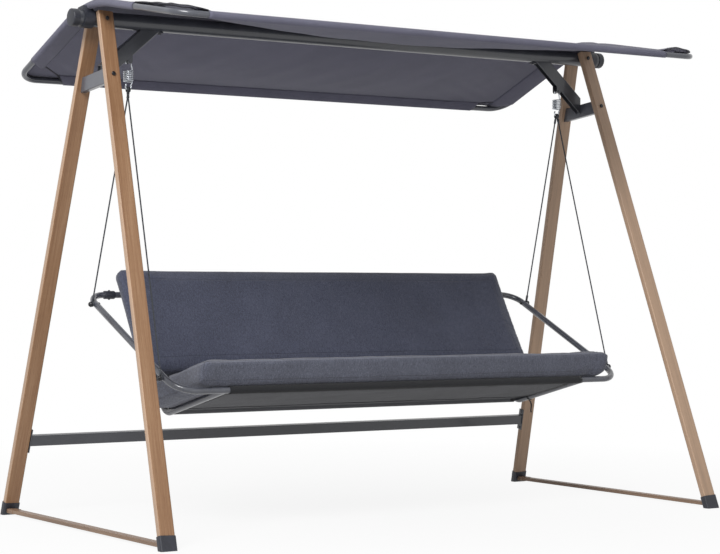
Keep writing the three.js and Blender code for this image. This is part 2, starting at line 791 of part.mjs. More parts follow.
// Slings: a sheet hemmed round a bar at one end or at both.
function sling(name, from, to, hemmed) {
  const run = to.clone().sub(from).normalize();
  const stop = hemmed.length > 1 ? hemRadius - fabric * 0.7 : hemRadius + gap;
  const start = from.clone().addScaledVector(run, hemRadius - fabric * 0.7);
  const end = to.clone().addScaledVector(run, -stop);
  const section = roundedBox(fabric, 2 * slingHalf, fabric / 4);
  let shape = solid(rod(inSide(0, start), inSide(0, end), section, inSide(0, new THREE.Vector2(
    -run.y,
    run.x,
  ))));
  for (const bar of hemmed) {
    const hem = collar(tubeRadius, fabric);
    shape = shape.add(solid(rodAcross(bar, -slingHalf, slingHalf, hem)));
  }
  return mesh(name, surface(shape), 'sling');
}

// Cushions rest on the bars' hems, parallel to the slings.
const cushionLift = hemRadius + gap;

function cushion(name, width, thickness, from, to, finish, nose = 0) {
  const length = from.distanceTo(to);
  const box = new RoundedBoxGeometry(width, thickness, length, 2, cushionEdge);
  box.translate(0, thickness / 2, length / 2);
  const corners = box.getAttribute('position');
  for (let i = 0; i < corners.count; i += 1) {
    const share = corners.getZ(i) < length / 2 ? corners.getY(i) / thickness : 0;
    corners.setZ(i, corners.getZ(i) - share * nose);
  }
  const made = mesh(name, surface(solid(box)), finish);
  const run = inSide(0, to.clone().sub(from).normalize());
  const across = new THREE.Vector3(-1, 0, 0);
  const basis = new THREE.Matrix4().makeBasis(across, run.clone().cross(across), run);
  made.applyMatrix4(basis.setPosition(inSide(0, from)));
  return made;
}

function crossing(pointA, directionA, pointB, directionB) {
  const between = pointB.clone().sub(pointA);
  const share = between.cross(directionB) / directionA.cross(directionB);
  return pointA.clone().addScaledVector(directionA, share);
}

function cushions() {
  const rearward = seatDirection.clone().negate();
  const seatNormal = new THREE.Vector2(-rearward.y, rearward.x);
  const backNormal = new THREE.Vector2(-backDirection.y, backDirection.x);
  const seatLine = frontBar.clone().addScaledVector(seatNormal, cushionLift);
  const backLine = rearBar.clone().addScaledVector(backNormal, cushionLift);
  const seatFrom = seatLine.clone().addScaledVector(rearward, -seatOverhang);
  const seatTo = crossing(seatLine, rearward, backLine, backDirection)
    .addScaledVector(rearward, -gap);
  const seatTop = seatLine.clone().addScaledVector(seatNormal, seatThickness + gap);
  const toeIn = backThickness * Math.tan(2 * cornerHalf - Math.PI / 2);
  const backFrom = crossing(seatTop, rearward, backLine, backDirection)
    .addScaledVector(backDirection, Math.max(toeIn, 0));
  const rise = backTopHeight - backFrom.y - backThickness * backNormal.y;
  const backTo = backFrom.clone().addScaledVector(backDirection, rise / backDirection.y);
  return [
    cushion(
      'seat_cushion',
      seatWidth,
      seatThickness,
      seatFrom,
      seatTo,
      'seatFabric',
      seatNose,
    ),
    cushion('back_cushion', backWidth, backThickness, backFrom, backTo, 'backFabric'),
  ];
}

// Ropes with a swaged eye at each end, from the bottom hook to a bolt on the arm.
function rope(name, top, bottom) {
  const down = bottom.clone().sub(top).normalize();
  const start = top.clone().addScaledVector(down, eyeRadius);
  const stop = bottom.clone().addScaledVector(down, -eyeRadius);
  let shape = solid(rod(start, stop, disc(ropeRadius, 6)));
  for (const [centre, reach] of [[top, 1], [bottom, -1]]) {
    const eye = new THREE.TorusGeometry(eyeRadius, ropeRadius, 5, 8)
      .rotateY(Math.PI / 2)
      .translate(...centre.toArray());
    const near = centre.clone().addScaledVector(down, reach * (eyeRadius + 2 * ropeRadius));
    const far = near.clone().addScaledVector(down, reach * ferruleLength);
    shape = shape.add(solid(eye)).add(solid(rod(near, far, disc(ferruleRadius, 6))));
  }
  return mesh(name, surface(shape), 'rope');
}

// Rope bolts: head inside the arm, then arm, rope eye and a domed cap nut outside.
function ropeBolt(name, side, distance) {
  const inside = -2 * tubeRadius - gap;
  const outside = 2 * ropeRadius + 2 * gap;
  const made = turned(name, [
    [0, inside - 3.5], [6, inside - 3.5], [6, inside], [ropeBoltRadius, inside],
    [ropeBoltRadius, outside], [capNutRadius, outside], [capNutRadius, outside + 4],
    [capNutRadius * 0.7, outside + 8.5], [0, outside + 10],
  ], 8);
  made.position.copy(onArm(side * (armX + tubeRadius + gap), distance));
  made.rotation.z = -side * Math.PI / 2;
  return made;
}

// Each eye is pulled against the far side of what it hangs on.
function ropes(name, side) {
  const inHook = hookRadius - wireRadius - ropeRadius - gap;
  const spacing = ropeRadius + gap;
  const hookEye = hookRadius - Math.sqrt(inHook ** 2 - spacing ** 2) - eyeRadius;
  const boltEye = eyeRadius - ropeRadius - ropeBoltRadius - gap;
  const eyeX = armX + tubeRadius + gap + ropeRadius + gap;
  return [
    ['front', frontRopeAlongArm, spacing],
    ['rear', rearRopeAlongArm, -spacing],
  ].flatMap(([end, distance, offset]) => {
    const top = new THREE.Vector3(side * (springX + offset), 0, benchPivotHeight + hookEye);
    const bottom = onArm(side * eyeX, distance);
    bottom.z += boltEye;
    return [
      rope(`rope_${end}_${name}`, top, bottom),
      ropeBolt(`rope_bolt_${end}_${name}`, side, distance),
    ];
  });
}

// Tie strap: a loop of tape round the right side rail with one end hanging down.
function tieStrap() {
  const place = frontBar.clone().lerp(seatCorner, tiePlace);
  const run = seatCorner.clone().sub(frontBar).normalize();
  const half = inSide(0, run).multiplyScalar(tieWidth / 2);
  const centre = inSide(sideRailX, place);
  const loop = rod(
    centre.clone().sub(half),
    centre.clone().add(half),
    collar(tubeRadius, tieThickness),
    new THREE.Vector3(1, 0, 0),
  );
  const knot = centre.clone();
  knot.z -= boreRadius(tubeRadius) + tieThickness / 2;
  const tip = knot.clone().add(new THREE.Vector3(0, tieLength * 0.2, -tieLength));
  const tape = rod(knot, tip, roundedBox(tieThickness, tieWidth, tieThickness / 3));
  return mesh('tie_strap', surface(solid(loop).add(solid(tape))), 'blackPlastic');
}

// Canopy. Side view of the tube's centre line: straight slopes joined by an arch.
const canopyTubeHeight = beamRadius + gap + clampWall + canopyTube + gap;
const canopyHem = boreRadius(canopyTube) + fabric;
const sheetTop = canopyHem + fabric * 0.2;
const archHalf = canopyArch * Math.sin(canopySlope);
const cornerRun = canopyCorner * Math.cos(canopySlope);

function archHeight(y) {
  const flat = Math.abs(y);
  if (flat < archHalf) return Math.sqrt(canopyArch ** 2 - flat ** 2) - canopyArch;
  const drop = canopyArch * (1 - Math.cos(canopySlope));
  return -drop - (flat - archHalf) * Math.tan(canopySlope);
}

function onArch(x, y, lift = 0) {
  const slope = -Math.sign(y) * Math.asin(Math.min(Math.abs(y), archHalf) / canopyArch);
  return new THREE.Vector3(
    x,
    y - lift * Math.sin(slope),
    archHeight(y) + lift * Math.cos(slope) + canopyTubeHeight,
  );
}

// Stations along the arch, few where it is straight, each end short of its edge tube.
const archBends = [-1, -0.6, -0.2, 0.2, 0.6, 1].map((share) => share * archHalf);

function archStations(short) {
  return [short - canopyFrontReach, ...archBends, canopyRearReach - short];
}

// The front or the rear edge tube, and a point of it.
function edgeY(end) {
  return end < 0 ? -canopyFrontReach : canopyRearReach;
}

function onEdge(x, end) {
  return onArch(x, edgeY(end));
}

const edgeTubeEnd = canopySideX - canopyCorner - edgeJoint;

function canopySide(name, side) {
  const x = side * canopySideX;
  const corner = (end) => ({ at: onEdge(x, end), radius: canopyCorner });
  const start = onEdge(side * (edgeTubeEnd + gap), -1);
  const finish = onEdge(side * (edgeTubeEnd + gap), 1);
  const front = bent(start, [corner(-1)], onArch(x, -archHalf));
  const rear = bent(onArch(x, archHalf), [corner(1)], finish);
  const top = archBends.slice(1, -1).map((y) => onArch(x, y));
  const line = [...front, ...top, ...rear];
  return mesh(`canopy_side_${name}`, tube(line, pipe(canopyTube, canopyWall)), 'tubePaint');
}

function canopyEdge(name, end) {
  const half = edgeTubeEnd;
  const bar = rodAcross(new THREE.Vector2(), -half, half, pipe(canopyTube, canopyWall));
  const made = mesh(name, bar, 'tubePaint');
  made.position.copy(onEdge(0, end));
  return made;
}

// Clamps: a collar round the beam with a saddle block on which the side tube lies.
function canopyClamp(name, side) {
  const origin = new THREE.Vector2();
  const left = side > 0 ? clampInnerX : -clampOuterX;
  const right = side > 0 ? clampOuterX : -clampInnerX;
  const bore = boreRadius(beamRadius, beamSides);
  const ring = solid(rodAcross(origin, left, right, disc(bore + clampCollar, beamSides)));
  const block = solid(new THREE.BoxGeometry(right - left, clampBlock, canopyTubeHeight)
    .translate((left + right) / 2, 0, canopyTubeHeight / 2));
  const hole = solid(rodAcross(origin, left - 10, right + 10, disc(bore, beamSides)));
  const line = archStations(cornerRun).map((y) => onArch(side * canopySideX, y));
  const channel = solid(tube(line, disc(boreRadius(canopyTube), tubeSides)));
  const shape = ring.add(block).subtract(hole).subtract(channel);
  return mesh(`canopy_clamp_${name}`, surface(shape), 'blackPlastic');
}

// Fabric: one sheet over the tubes, with a sleeve round each straight length. It follows
// the arch at its sides. Between them it lies on the beam and sags in front and behind.
function onSheet(x, y, lift) {
  const point = onArch(x, y, lift);
  const end = Math.sign(y) * (Math.abs(edgeY(y)) - canopyBorder);
  const share = y === 0 ? 0 : y / end;
  if (share >= 1) return point;
  const ends = [beamRadius + canopyOnBeam, onArch(0, end, sheetTop).z];
  const middle = THREE.MathUtils.lerp(...ends, share) - 4 * canopySag * share * (1 - share);
  const slack = Math.max(1 - (x / (canopySideX - canopyBorder)) ** 2, 0);
  point.z -= slack * (onArch(x, y, sheetTop).z - middle);
  return point;
}

function sheetRows() {
  const shares = [0, 0.25, 0.5, 0.75, 1];
  const slope = (end) => [
    ...shares.slice(1).map((share) => end * THREE.MathUtils.lerp(
      archHalf,
      Math.abs(edgeY(end)) - canopyBorder,
      share,
    )),
    edgeY(end),
  ];
  const bends = [...archBends.slice(0, 3), 0, ...archBends.slice(3)];
  return [...slope(-1).reverse(), ...bends, ...slope(1)];
}

function sheetColumns() {
  const count = 10;
  const inner = canopySideX - canopyBorder;
  const between = Array.from({ length: count + 1 }, (_, i) => (2 * i / count - 1) * inner);
  return [-canopySideX, ...between, canopySideX];
}

// Both sides of the sheet are split along the same diagonals, so that a twisted cell of one
// side doesn't pass through the other.
function splitAlike(sheet) {
  const index = sheet.getIndex();
  const { start, count } = sheet.groups[5];
  for (let i = start; i < start + count; i += 6) {
    const [a, b, d, c] = [0, 1, 2, 4].map((step) => index.getX(i + step));
    [a, b, c, a, c, d].forEach((corner, step) => index.setX(i + step, corner));
  }
}

function canopyFabric() {
  const half = canopySideX;
  const [xs, ys] = [sheetColumns(), sheetRows()];
  const [columns, rows] = [xs.length - 1, ys.length - 1];
  const sheet = new THREE.BoxGeometry(columns, rows, fabric, columns, rows, 1);
  const places = sheet.getAttribute('position');
  for (let i = 0; i < places.count; i += 1) {
    const x = xs[Math.round(places.getX(i) + columns / 2)];
    const y = ys[Math.round(places.getY(i) + rows / 2)];
    places.setXYZ(i, ...onSheet(x, y, sheetTop - fabric / 2 + places.getZ(i)).toArray());
  }
  splitAlike(sheet);
  const length = canopyFrontReach + canopyRearReach;
  const outline = solid(extruded(roundedBox(2 * half, length, canopyCorner), 2 * length)
    .translate(0, (canopyRearReach - canopyFrontReach) / 2, -length));
  let shape = solid(sheet).intersect(outline);
  const sleeve = collar(canopyTube, fabric);
  for (const side of [-1, 1]) {
    const line = archStations(sleeveStop).map((y) => onArch(side * half, y));
    const notch = new THREE.BoxGeometry(
      clampOuterX - clampInnerX + 4,
      clampBlock + 12,
      2 * canopyTubeHeight + 4,
    ).translate(side * (clampInnerX + clampOuterX) / 2, 0, 0);
    const edge = onEdge(0, side);
    const reach = half - sleeveStop;
    shape = shape
      .add(solid(tube(line, sleeve)).subtract(solid(notch)))
      .add(solid(rodAcross(new THREE.Vector2(edge.y, edge.z), -reach, reach, sleeve)));
  }
  return mesh('canopy_fabric', tidied(surface(shape)), 'canopy');
}

// Assemblies.
const sides = Object.entries({ left: -1, right: 1 });

const stand = group(
  ...sides.flatMap(([name, side]) => [
    leg(`front_${name}`, side, true),
    leg(`rear_${name}`, side, false),
    footCap(`front_${name}`, side, true),
    footCap(`rear_${name}`, side, false),
    floorRail(name, side),
    beamCap(name, side),
    beamBolt(name, side),
    crossbar(name, side),
    crossbarBolt(name, side),
    kneeBrace(name, side),
    stretcherPlate(name, side),
  ]),
  beam(),
  stretcher(),
);

const bench = group(
  ...sides.flatMap(([name, side]) => [
    arm(name, side),
    rearSleeve(name, side),
    sideRail(name, side),
    ...ropes(name, side),
  ]),
  barAcross('front_bar', frontBar, frontBarEnd),
  barAcross('rear_bar', rearBar, rearBarEnd),
  barAcross('lower_bar', lowerBar, sideRailX - tubeRadius - gap),
  sling('seat_sling', frontBar, lowerBar, [frontBar, lowerBar]),
  sling('back_sling', rearBar, lowerBar, [rearBar]),
  ...cushions(),
  tieStrap(),
);

const canopy = group(
  ...sides.flatMap(([name, side]) => [canopySide(name, side), canopyClamp(name, side)]),
  canopyEdge('canopy_front_tube', -1),
  canopyEdge('canopy_rear_tube', 1),
  canopyFabric(),
);
canopy.position.z = beamHeight;
canopy.rotation.x = -canopyTilt;

const swing = group(stand, ...sides.map(([name, side]) => spring(name, side)), bench, canopy);

// The origin lies on the floor under the middle of the whole swing.
swing.updateMatrixWorld(true);
const bounds = new THREE.Box3().setFromObject(swing, true);
swing.position.y = -(bounds.min.y + bounds.max.y) / 2;

export default swing;
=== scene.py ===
import math

import bmesh
import bpy
from mathutils import Matrix, Vector, noise


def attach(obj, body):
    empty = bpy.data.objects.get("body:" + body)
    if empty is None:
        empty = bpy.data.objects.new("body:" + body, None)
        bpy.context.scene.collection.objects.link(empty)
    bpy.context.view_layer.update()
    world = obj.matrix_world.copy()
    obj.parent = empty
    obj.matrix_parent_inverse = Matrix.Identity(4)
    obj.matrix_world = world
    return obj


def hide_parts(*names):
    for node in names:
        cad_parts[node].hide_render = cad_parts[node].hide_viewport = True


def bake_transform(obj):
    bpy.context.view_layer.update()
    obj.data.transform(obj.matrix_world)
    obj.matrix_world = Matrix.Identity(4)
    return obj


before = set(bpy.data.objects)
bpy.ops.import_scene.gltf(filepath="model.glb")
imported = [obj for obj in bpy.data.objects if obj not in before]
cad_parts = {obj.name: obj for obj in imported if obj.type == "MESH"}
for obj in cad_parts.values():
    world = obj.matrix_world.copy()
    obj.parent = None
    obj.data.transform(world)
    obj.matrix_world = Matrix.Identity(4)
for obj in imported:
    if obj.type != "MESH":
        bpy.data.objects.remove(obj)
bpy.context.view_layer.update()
scene = bpy.context.scene

# Camera: low in front of the swing and well to its left, level with the seat's back,
# looking along the floor. The lens is long, so the beam hardly narrows.
picture_width = 720
focal_pixels = 2100.3
eye = Vector((-3.9609, -5.7191, 0.7935))
eye_turn = math.radians(34.556)
eye_tip = math.radians(-0.174)
eye_roll = math.radians(0.436)
ahead = Vector((
    math.sin(eye_turn) * math.cos(eye_tip),
    math.cos(eye_turn) * math.cos(eye_tip),
    math.sin(eye_tip),
))
level_right = Vector((math.cos(eye_turn), -math.sin(eye_turn), 0))
level_up = level_right.cross(ahead)
picture_right = level_right * math.cos(eye_roll) + level_up * math.sin(eye_roll)
picture_up = level_up * math.cos(eye_roll) - level_right * math.sin(eye_roll)
camera_data = bpy.data.cameras.new("camera")
camera_data.sensor_width = 36
camera_data.lens = focal_pixels * 36 / picture_width
camera = bpy.data.objects.new("camera", camera_data)
camera.matrix_world = Matrix((
    (picture_right.x, picture_up.x, -ahead.x, eye.x),
    (picture_right.y, picture_up.y, -ahead.y, eye.y),
    (picture_right.z, picture_up.z, -ahead.z, eye.z),
    (0, 0, 0, 1),
))
scene.collection.objects.link(camera)
scene.camera = camera
scene.view_settings.view_transform = "Standard"


# Legs: four steel tubes, 50 by 20 mm, wrapped in a printed wood-look film. Each leans in
# two planes and is drilled for the long bolt through the beam.
ends = {"left": -1, "right": 1}
beam_y = 0.05556
beam_z = 1.559
leg_foot = {"front": Vector((1.05, -0.5486, 0)), "rear": Vector((1.05, 0.4904, 0))}
leg_top = {"front": Vector((0.9633, 0.0191, 1.559)), "rear": Vector((0.9633, 0.0917, 1.559))}


def paint(red, green, blue):
    """A colour as the eye names it, 0 to 255, turned into the shader's own scale."""
    parts = [value / 255 for value in (red, green, blue)]
    return tuple(
        value / 12.92 if value <= 0.04045 else ((value + 0.055) / 1.055) ** 2.4
        for value in parts
    ) + (1.0,)


class Graph:
    """A tree of nodes, each added with the nodes and values that feed it."""

    def __init__(self, tree):
        self.tree = tree

    def add(self, kind, feeds=None, **settings):
        made = self.tree.nodes.new(kind)
        for key, value in settings.items():
            setattr(made, key, value)
        for key, value in (feeds or {}).items():
            if isinstance(value, bpy.types.NodeSocket):
                self.tree.links.new(value, made.inputs[key])
            else:
                made.inputs[key].default_value = value
        return made

    def combine(self, first, second, operation="ADD"):
        return self.add("ShaderNodeMath", {0: first, 1: second}, operation=operation).outputs[0]

    def times(self, first, second):
        return self.combine(first, second, "MULTIPLY")


class Finish(Graph):
    """One surface finish, built node by node on the plain shader."""

    def __init__(self, name, base, roughness, metallic=0.0):
        self.material = bpy.data.materials.new(name)
        self.material.use_nodes = True
        self.material.diffuse_color = base
        super().__init__(self.material.node_tree)
        self.shader = self.tree.nodes["Principled BSDF"]
        self.shader.inputs["Base Color"].default_value = base
        self.shader.inputs["Roughness"].default_value = roughness
        self.shader.inputs["Metallic"].default_value = metallic

    def place(self, stretch=(1, 1, 1)):
        """Where a point is on the piece, in metres, stretched for a pattern."""
        here = self.add("ShaderNodeTexCoord").outputs["Object"]
        return self.add("ShaderNodeMapping", {"Vector": here, "Scale": stretch}).outputs[0]

    def laid(self, layer, stretch=(1, 1, 1)):
        """Where a point is on the piece's own flat pattern."""
        here = self.add("ShaderNodeUVMap", uv_map=layer).outputs["UV"]
        return self.add("ShaderNodeMapping", {"Vector": here, "Scale": stretch}).outputs[0]

    def cloud(self, at, size, detail=3.0, rough=0.5):
        made = self.add("ShaderNodeTexNoise", {
            "Vector": at, "Scale": size, "Detail": detail, "Roughness": rough,
        })
        return made.outputs["Fac"]

    def ramp(self, value, stops):
        made = self.add("ShaderNodeValToRGB", {"Fac": value})
        band = made.color_ramp
        while len(band.elements) < len(stops):
            band.elements.new(0.5)
        for element, (spot, shade) in zip(band.elements, stops):
            element.position = spot
            element.color = shade
        return made.outputs["Color"]

    def level(self, value, low, high, to_low, to_high):
        return self.add("ShaderNodeMapRange", {
            "Value": value, "From Min": low, "From Max": high,
            "To Min": to_low, "To Max": to_high,
        }).outputs["Result"]

    def mix(self, share, first, second, blend="MIX"):
        feeds = {0: share, 6: first, 7: second}
        return self.add("ShaderNodeMix", feeds, data_type="RGBA", blend_type=blend).outputs[2]

    def sheen(self, weight, roughness=None):
        """The soft light edge of cloth."""
        self.shader.inputs["Sheen Weight"].default_value = weight
        if roughness is not None:
            self.shader.inputs["Sheen Roughness"].default_value = roughness

    def use(self, colour=None, roughness=None, height=None, depth=0.0005, strength=1.0):
        if colour is not None:
            self.tree.links.new(colour, self.shader.inputs["Base Color"])
        if roughness is not None:
            self.tree.links.new(roughness, self.shader.inputs["Roughness"])
        if height is not None:
            bump = self.add("ShaderNodeBump", {
                "Height": height, "Distance": depth, "Strength": strength,
            })
            self.tree.links.new(bump.outputs["Normal"], self.shader.inputs["Normal"])
        return self.material


def wood_print():
    """The printed film, with painted light on its faces past 0.6 m across its pattern, and painted
    shade on the faces before that.
    """
    made = Finish("wood_print", paint(166, 124, 90), 0.42)
    fine = made.cloud(made.laid("grain", (420, 6, 1)), 1.0, 5.0, 0.6)
    broad = made.cloud(made.laid("grain", (70, 1.6, 1)), 1.0, 3.0, 0.55)
    pores = made.cloud(made.laid("grain", (1500, 38, 1)), 1.0, 2.0, 0.5)
    flecks = made.cloud(made.laid("grain", (9, 0.8, 1)), 1.0, 2.0, 0.5)
    figure = made.combine(
        made.combine(made.times(fine, 0.55), made.times(broad, 0.45)),
        made.level(flecks, 0.3, 0.7, -0.06, 0.06),
    )
    board = made.ramp(figure, (
        (0.30, paint(112, 78, 52)), (0.43, paint(146, 107, 75)),
        (0.55, paint(168, 129, 95)), (0.72, paint(190, 154, 122)),
    ))
    dark_pores = made.ramp(pores, ((0.30, paint(150, 110, 80)), (0.42, paint(255, 255, 255))))
    colour = made.mix(0.45, board, dark_pores, "MULTIPLY")
    across = made.add("ShaderNodeSeparateXYZ", {0: made.laid("grain")}).outputs["X"]
    # Painted light: the faces past 0.6 m across the pattern are tinted paler, as if lit.
    lit_faces = made.level(across, 0.6, 0.61, 0, 1)
    colour = made.mix(made.times(lit_faces, 0.42), colour, paint(214, 190, 168))
    # Painted shade: the other faces are tinted darker, except in thin bands every 0.4 m across the
    # pattern.
    off_line = made.level(made.combine(across, 0.2, "PINGPONG"), 0.0205, 0.0215, 0, 1)
    shaded_faces = made.times(off_line, made.level(lit_faces, 0, 1, 1, 0))
    colour = made.mix(made.times(shaded_faces, 0.30), colour, paint(92, 66, 46))
    return made.use(
        colour,
        made.level(fine, 0.3, 0.7, 0.36, 0.50),
        made.combine(fine, made.times(pores, 0.6)),
        0.00012,
        0.5,
    )


def from_solid(node, name=None):
    """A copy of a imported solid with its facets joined, ready to be finished."""
    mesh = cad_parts[node].data.copy()
    mesh.name = name or f"{node}_shell"
    shape = bmesh.new()
    shape.from_mesh(mesh)
    bmesh.ops.remove_doubles(shape, verts=shape.verts, dist=2e-5)
    bmesh.ops.dissolve_limit(
        shape, angle_limit=math.radians(0.6), verts=shape.verts, edges=shape.edges,
    )
    shape.to_mesh(mesh)
    shape.free()
    return mesh


def smooth(mesh, sharp=38):
    for face in mesh.polygons:
        face.use_smooth = True
    mesh.set_sharp_from_angle(angle=math.radians(sharp))
    return mesh


def shown(name, mesh, material, slot, body, *nodes):
    """Puts a finished mesh in the scene as a piece of one body of the swing, or of none yet."""
    made = bpy.data.objects.new(name, mesh)
    scene.collection.objects.link(made)
    mesh.materials.clear()
    mesh.materials.append(material)
    if nodes:
        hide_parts(*nodes)
    if body:
        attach(made, body)
    return made


def refinished(node, ending, material, slot, body="stand", sharp=38):
    """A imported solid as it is, smoothed and with its finish."""
    return shown(f"{node}_{ending}", smooth(from_solid(node), sharp), material, slot, body, node)


def soften(made, width, segments=2, angle=40):
    """Rolls the sharp edges of a pressed, drawn or moulded piece."""
    edge = made.modifiers.new("rolled_edges", "BEVEL")
    edge.width = width
    edge.segments = segments
    edge.limit_method = "ANGLE"
    edge.angle_limit = math.radians(angle)
    edge.harden_normals = True
    edge.use_clamp_overlap = True
    return made


def lay_grain(mesh, axis, across):
    """The film's pattern: across the tube one way, along it the other, in metres."""
    through = axis.cross(across)
    layer = mesh.uv_layers.new(name="grain")
    for face in mesh.polygons:
        wide = abs(face.normal.dot(through)) > abs(face.normal.dot(across))
        for loop in face.loop_indices:
            here = mesh.vertices[mesh.loops[loop].vertex_index].co
            if wide:
                u = here.dot(across) + (0.4 if face.normal.dot(through) > 0 else 0)
            else:
                u = here.dot(through) + (0.8 if face.normal.dot(across) > 0 else 1.2)
            layer.data[loop].uv = (u, here.dot(axis))


def flatten(made):
    """Keeps the shading of flat faces flat right up to their rolled edges."""
    kept_flat = made.modifiers.new("flat_faces", "WEIGHTED_NORMAL")
    kept_flat.keep_sharp = True
    kept_flat.weight = 100
    return made


wood = wood_print()
for end in ("front", "rear"):
    for side, sign in ends.items():
        node = f"leg_{end}_{side}"
        mirror = Vector((sign, 1, 1))
        axis = (leg_top[end] * mirror - leg_foot[end] * mirror).normalized()
        across = Vector((1, 0, 0))
        across = (across - axis * axis.dot(across)).normalized()
        leg = smooth(from_solid(node))
        lay_grain(leg, axis, across)
        flatten(shown(f"{node}_tube", leg, wood, "wood_print", "stand", node))


# Foot caps: black moulded cups pushed on the legs' ends and cut level with the floor.
def black_plastic():
    made = Finish("black_plastic", paint(36, 38, 46), 0.42)
    grain = made.cloud(made.place(), 900.0, 2.0)
    scuff = made.cloud(made.place(), 35.0, 4.0, 0.6)
    colour = made.mix(made.level(scuff, 0.42, 0.7, 0, 0.5), paint(34, 36, 44), paint(58, 61, 72))
    return made.use(colour, made.level(scuff, 0.3, 0.7, 0.40, 0.58), grain, 0.0002, 0.35)


plastic = black_plastic()
for end in ("front", "rear"):
    for side in ends:
        node = f"foot_{end}_{side}"
        flatten(soften(refinished(node, "cap", plastic, "black_plastic"), 0.0018, 3))


# Floor rails: one flat tube in each A-frame, in a greyer printed film than the legs, with
# slightly rolled edges.
def rail_finish():
    made = Finish("rail_print", paint(128, 104, 86), 0.45)
    fine = made.cloud(made.place((260, 6, 260)), 1.0, 5.0, 0.6)
    broad = made.cloud(made.place((40, 2, 40)), 1.0, 3.0, 0.5)
    figure = made.combine(made.times(fine, 0.6), made.times(broad, 0.4))
    colour = made.ramp(figure, (
        (0.3, paint(98, 76, 60)), (0.5, paint(134, 108, 88)), (0.7, paint(160, 132, 108)),
    ))
    return made.use(colour, made.level(fine, 0.3, 0.7, 0.38, 0.52), fine, 0.0001, 0.4)


rail_film = rail_finish()
for side in ends:
    rail = refinished(f"floor_rail_{side}", "tube", rail_film, "wood_print")
    flatten(soften(rail, 0.0006))


# Beam: one round steel tube, 50 mm, powder coated, with a black cup on each end.
def powder_coat(name, base, light, roughness):
    made = Finish(name, base, roughness, 0.0)
    peel = made.cloud(made.place(), 700.0, 3.0, 0.6)
    wear = made.cloud(made.place(), 18.0, 5.0, 0.65)
    colour = made.mix(made.level(wear, 0.45, 0.75, 0, 0.6), base, light)
    gloss = made.level(wear, 0.3, 0.7, roughness - 0.05, roughness + 0.08)
    made.shader.inputs["Coat Weight"].default_value = 0.5
    made.shader.inputs["Coat Roughness"].default_value = 0.14
    return made.use(colour, gloss, peel, 0.00015, 0.35)


stand_paint = powder_coat("stand_paint", paint(56, 58, 64), paint(72, 74, 80), 0.38)
beam_radius = 0.025
beam_half_length = 1.058


def shape_group(name, wanted):
    """An empty group of geometry nodes and the sockets of its named inputs."""
    group = bpy.data.node_groups.new(name, "GeometryNodeTree")
    for label, kind in wanted.items():
        group.interface.new_socket(label, in_out="INPUT", socket_type=f"NodeSocket{kind}")
    group.interface.new_socket("Shape", in_out="OUTPUT", socket_type="NodeSocketGeometry")
    graph = Graph(group)
    return graph, graph.add("NodeGroupInput").outputs


def drawn(graph, line, section, finish):
    """Draws a section along a line, gives it a finish and returns the whole group."""
    skin = graph.add("GeometryNodeCurveToMesh", {
        "Curve": line, "Profile Curve": section, "Fill Caps": True,
    })
    real = graph.add("GeometryNodeRealizeInstances", {"Geometry": skin.outputs["Mesh"]})
    coat = graph.add("GeometryNodeSetMaterial", {
        "Geometry": real.outputs["Geometry"], "Material": finish,
    })
    graph.add("NodeGroupOutput", {"Shape": coat.outputs["Geometry"]})
    return graph.tree


def tube_tree():
    """Geometry nodes: a round tube drawn along a line of points."""
    graph, given = shape_group("tube_along_line", {
        "Line": "Geometry", "Tube radius": "Float", "Sides": "Int", "Finish": "Material",
    })
    line = graph.add("GeometryNodeMeshToCurve", {"Mesh": given["Line"]})
    ring = graph.add("GeometryNodeCurvePrimitiveCircle", {
        "Resolution": given["Sides"], "Radius": given["Tube radius"],
    })
    return drawn(graph, line.outputs["Curve"], ring.outputs["Curve"], given["Finish"])


def grow(name, points, tree, sizes, closed=False):
    """Runs a tree of geometry nodes on a line of points and keeps the plain mesh."""
    line = bpy.data.meshes.new(f"{name}_line")
    steps = [(i, i + 1) for i in range(len(points) - 1)]
    if closed:
        steps.append((len(points) - 1, 0))
    line.from_pydata([tuple(point) for point in points], steps, [])
    carrier = bpy.data.objects.new(f"{name}_line", line)
    scene.collection.objects.link(carrier)
    shape = carrier.modifiers.new("shape", "NODES")
    shape.node_group = tree
    for item in tree.interface.items_tree:
        if item.item_type == "SOCKET" and item.in_out == "INPUT" and item.name in sizes:
            shape[item.identifier] = sizes[item.name]
    seen = carrier.evaluated_get(bpy.context.evaluated_depsgraph_get())
    mesh = bpy.data.meshes.new_from_object(seen)
    mesh.name = name
    bpy.data.objects.remove(carrier)
    bpy.data.meshes.remove(line)
    outward = bmesh.new()
    outward.from_mesh(mesh)
    bmesh.ops.remove_doubles(outward, verts=outward.verts, dist=1e-6)
    bmesh.ops.recalc_face_normals(outward, faces=outward.faces)
    outward.to_mesh(mesh)
    outward.free()
    return smooth(mesh)


def bent(start, corners, end, steps=12):
    """The points of a line with a rounded bend at each corner point."""
    points = [start]
    stops = [start] + [at for at, _ in corners] + [end]
    for i, (at, radius) in enumerate(corners, 1):
        before = (stops[i - 1] - at).normalized()
        after = (stops[i + 1] - at).normalized()
        half = before.angle(after) / 2
        centre = at + (before + after).normalized() * (radius / math.sin(half))
        first = at + before * (radius / math.tan(half)) - centre
        axis = before.cross(after).normalized()
        turn = math.pi - 2 * half
        for step in range(steps + 1):
            points.append(centre + Matrix.Rotation(-turn * step / steps, 3, axis) @ first)
    points.append(end)
    return points


tube_shape = tube_tree()


def round_line(name, points, radius, sides, finish, closed=False):
    sizes = {"Tube radius": radius, "Sides": sides, "Finish": finish}
    return grow(name, points, tube_shape, sizes, closed)


def tube(name, points, radius, material, slot, body, *nodes, sides=32):
    mesh = round_line(name, points, radius, sides, material)
    return shown(name, mesh, material, slot, body, *nodes)


tube(
    "beam_tube",
    [Vector((x, beam_y, beam_z)) for x in (-beam_half_length, beam_half_length)],
    beam_radius, stand_paint, "stand_paint", "stand", "beam", sides=64,
)
for side in ends:
    soften(refinished(f"beam_cap_{side}", "cup", plastic, "black_plastic", sharp=30), 0.0008)


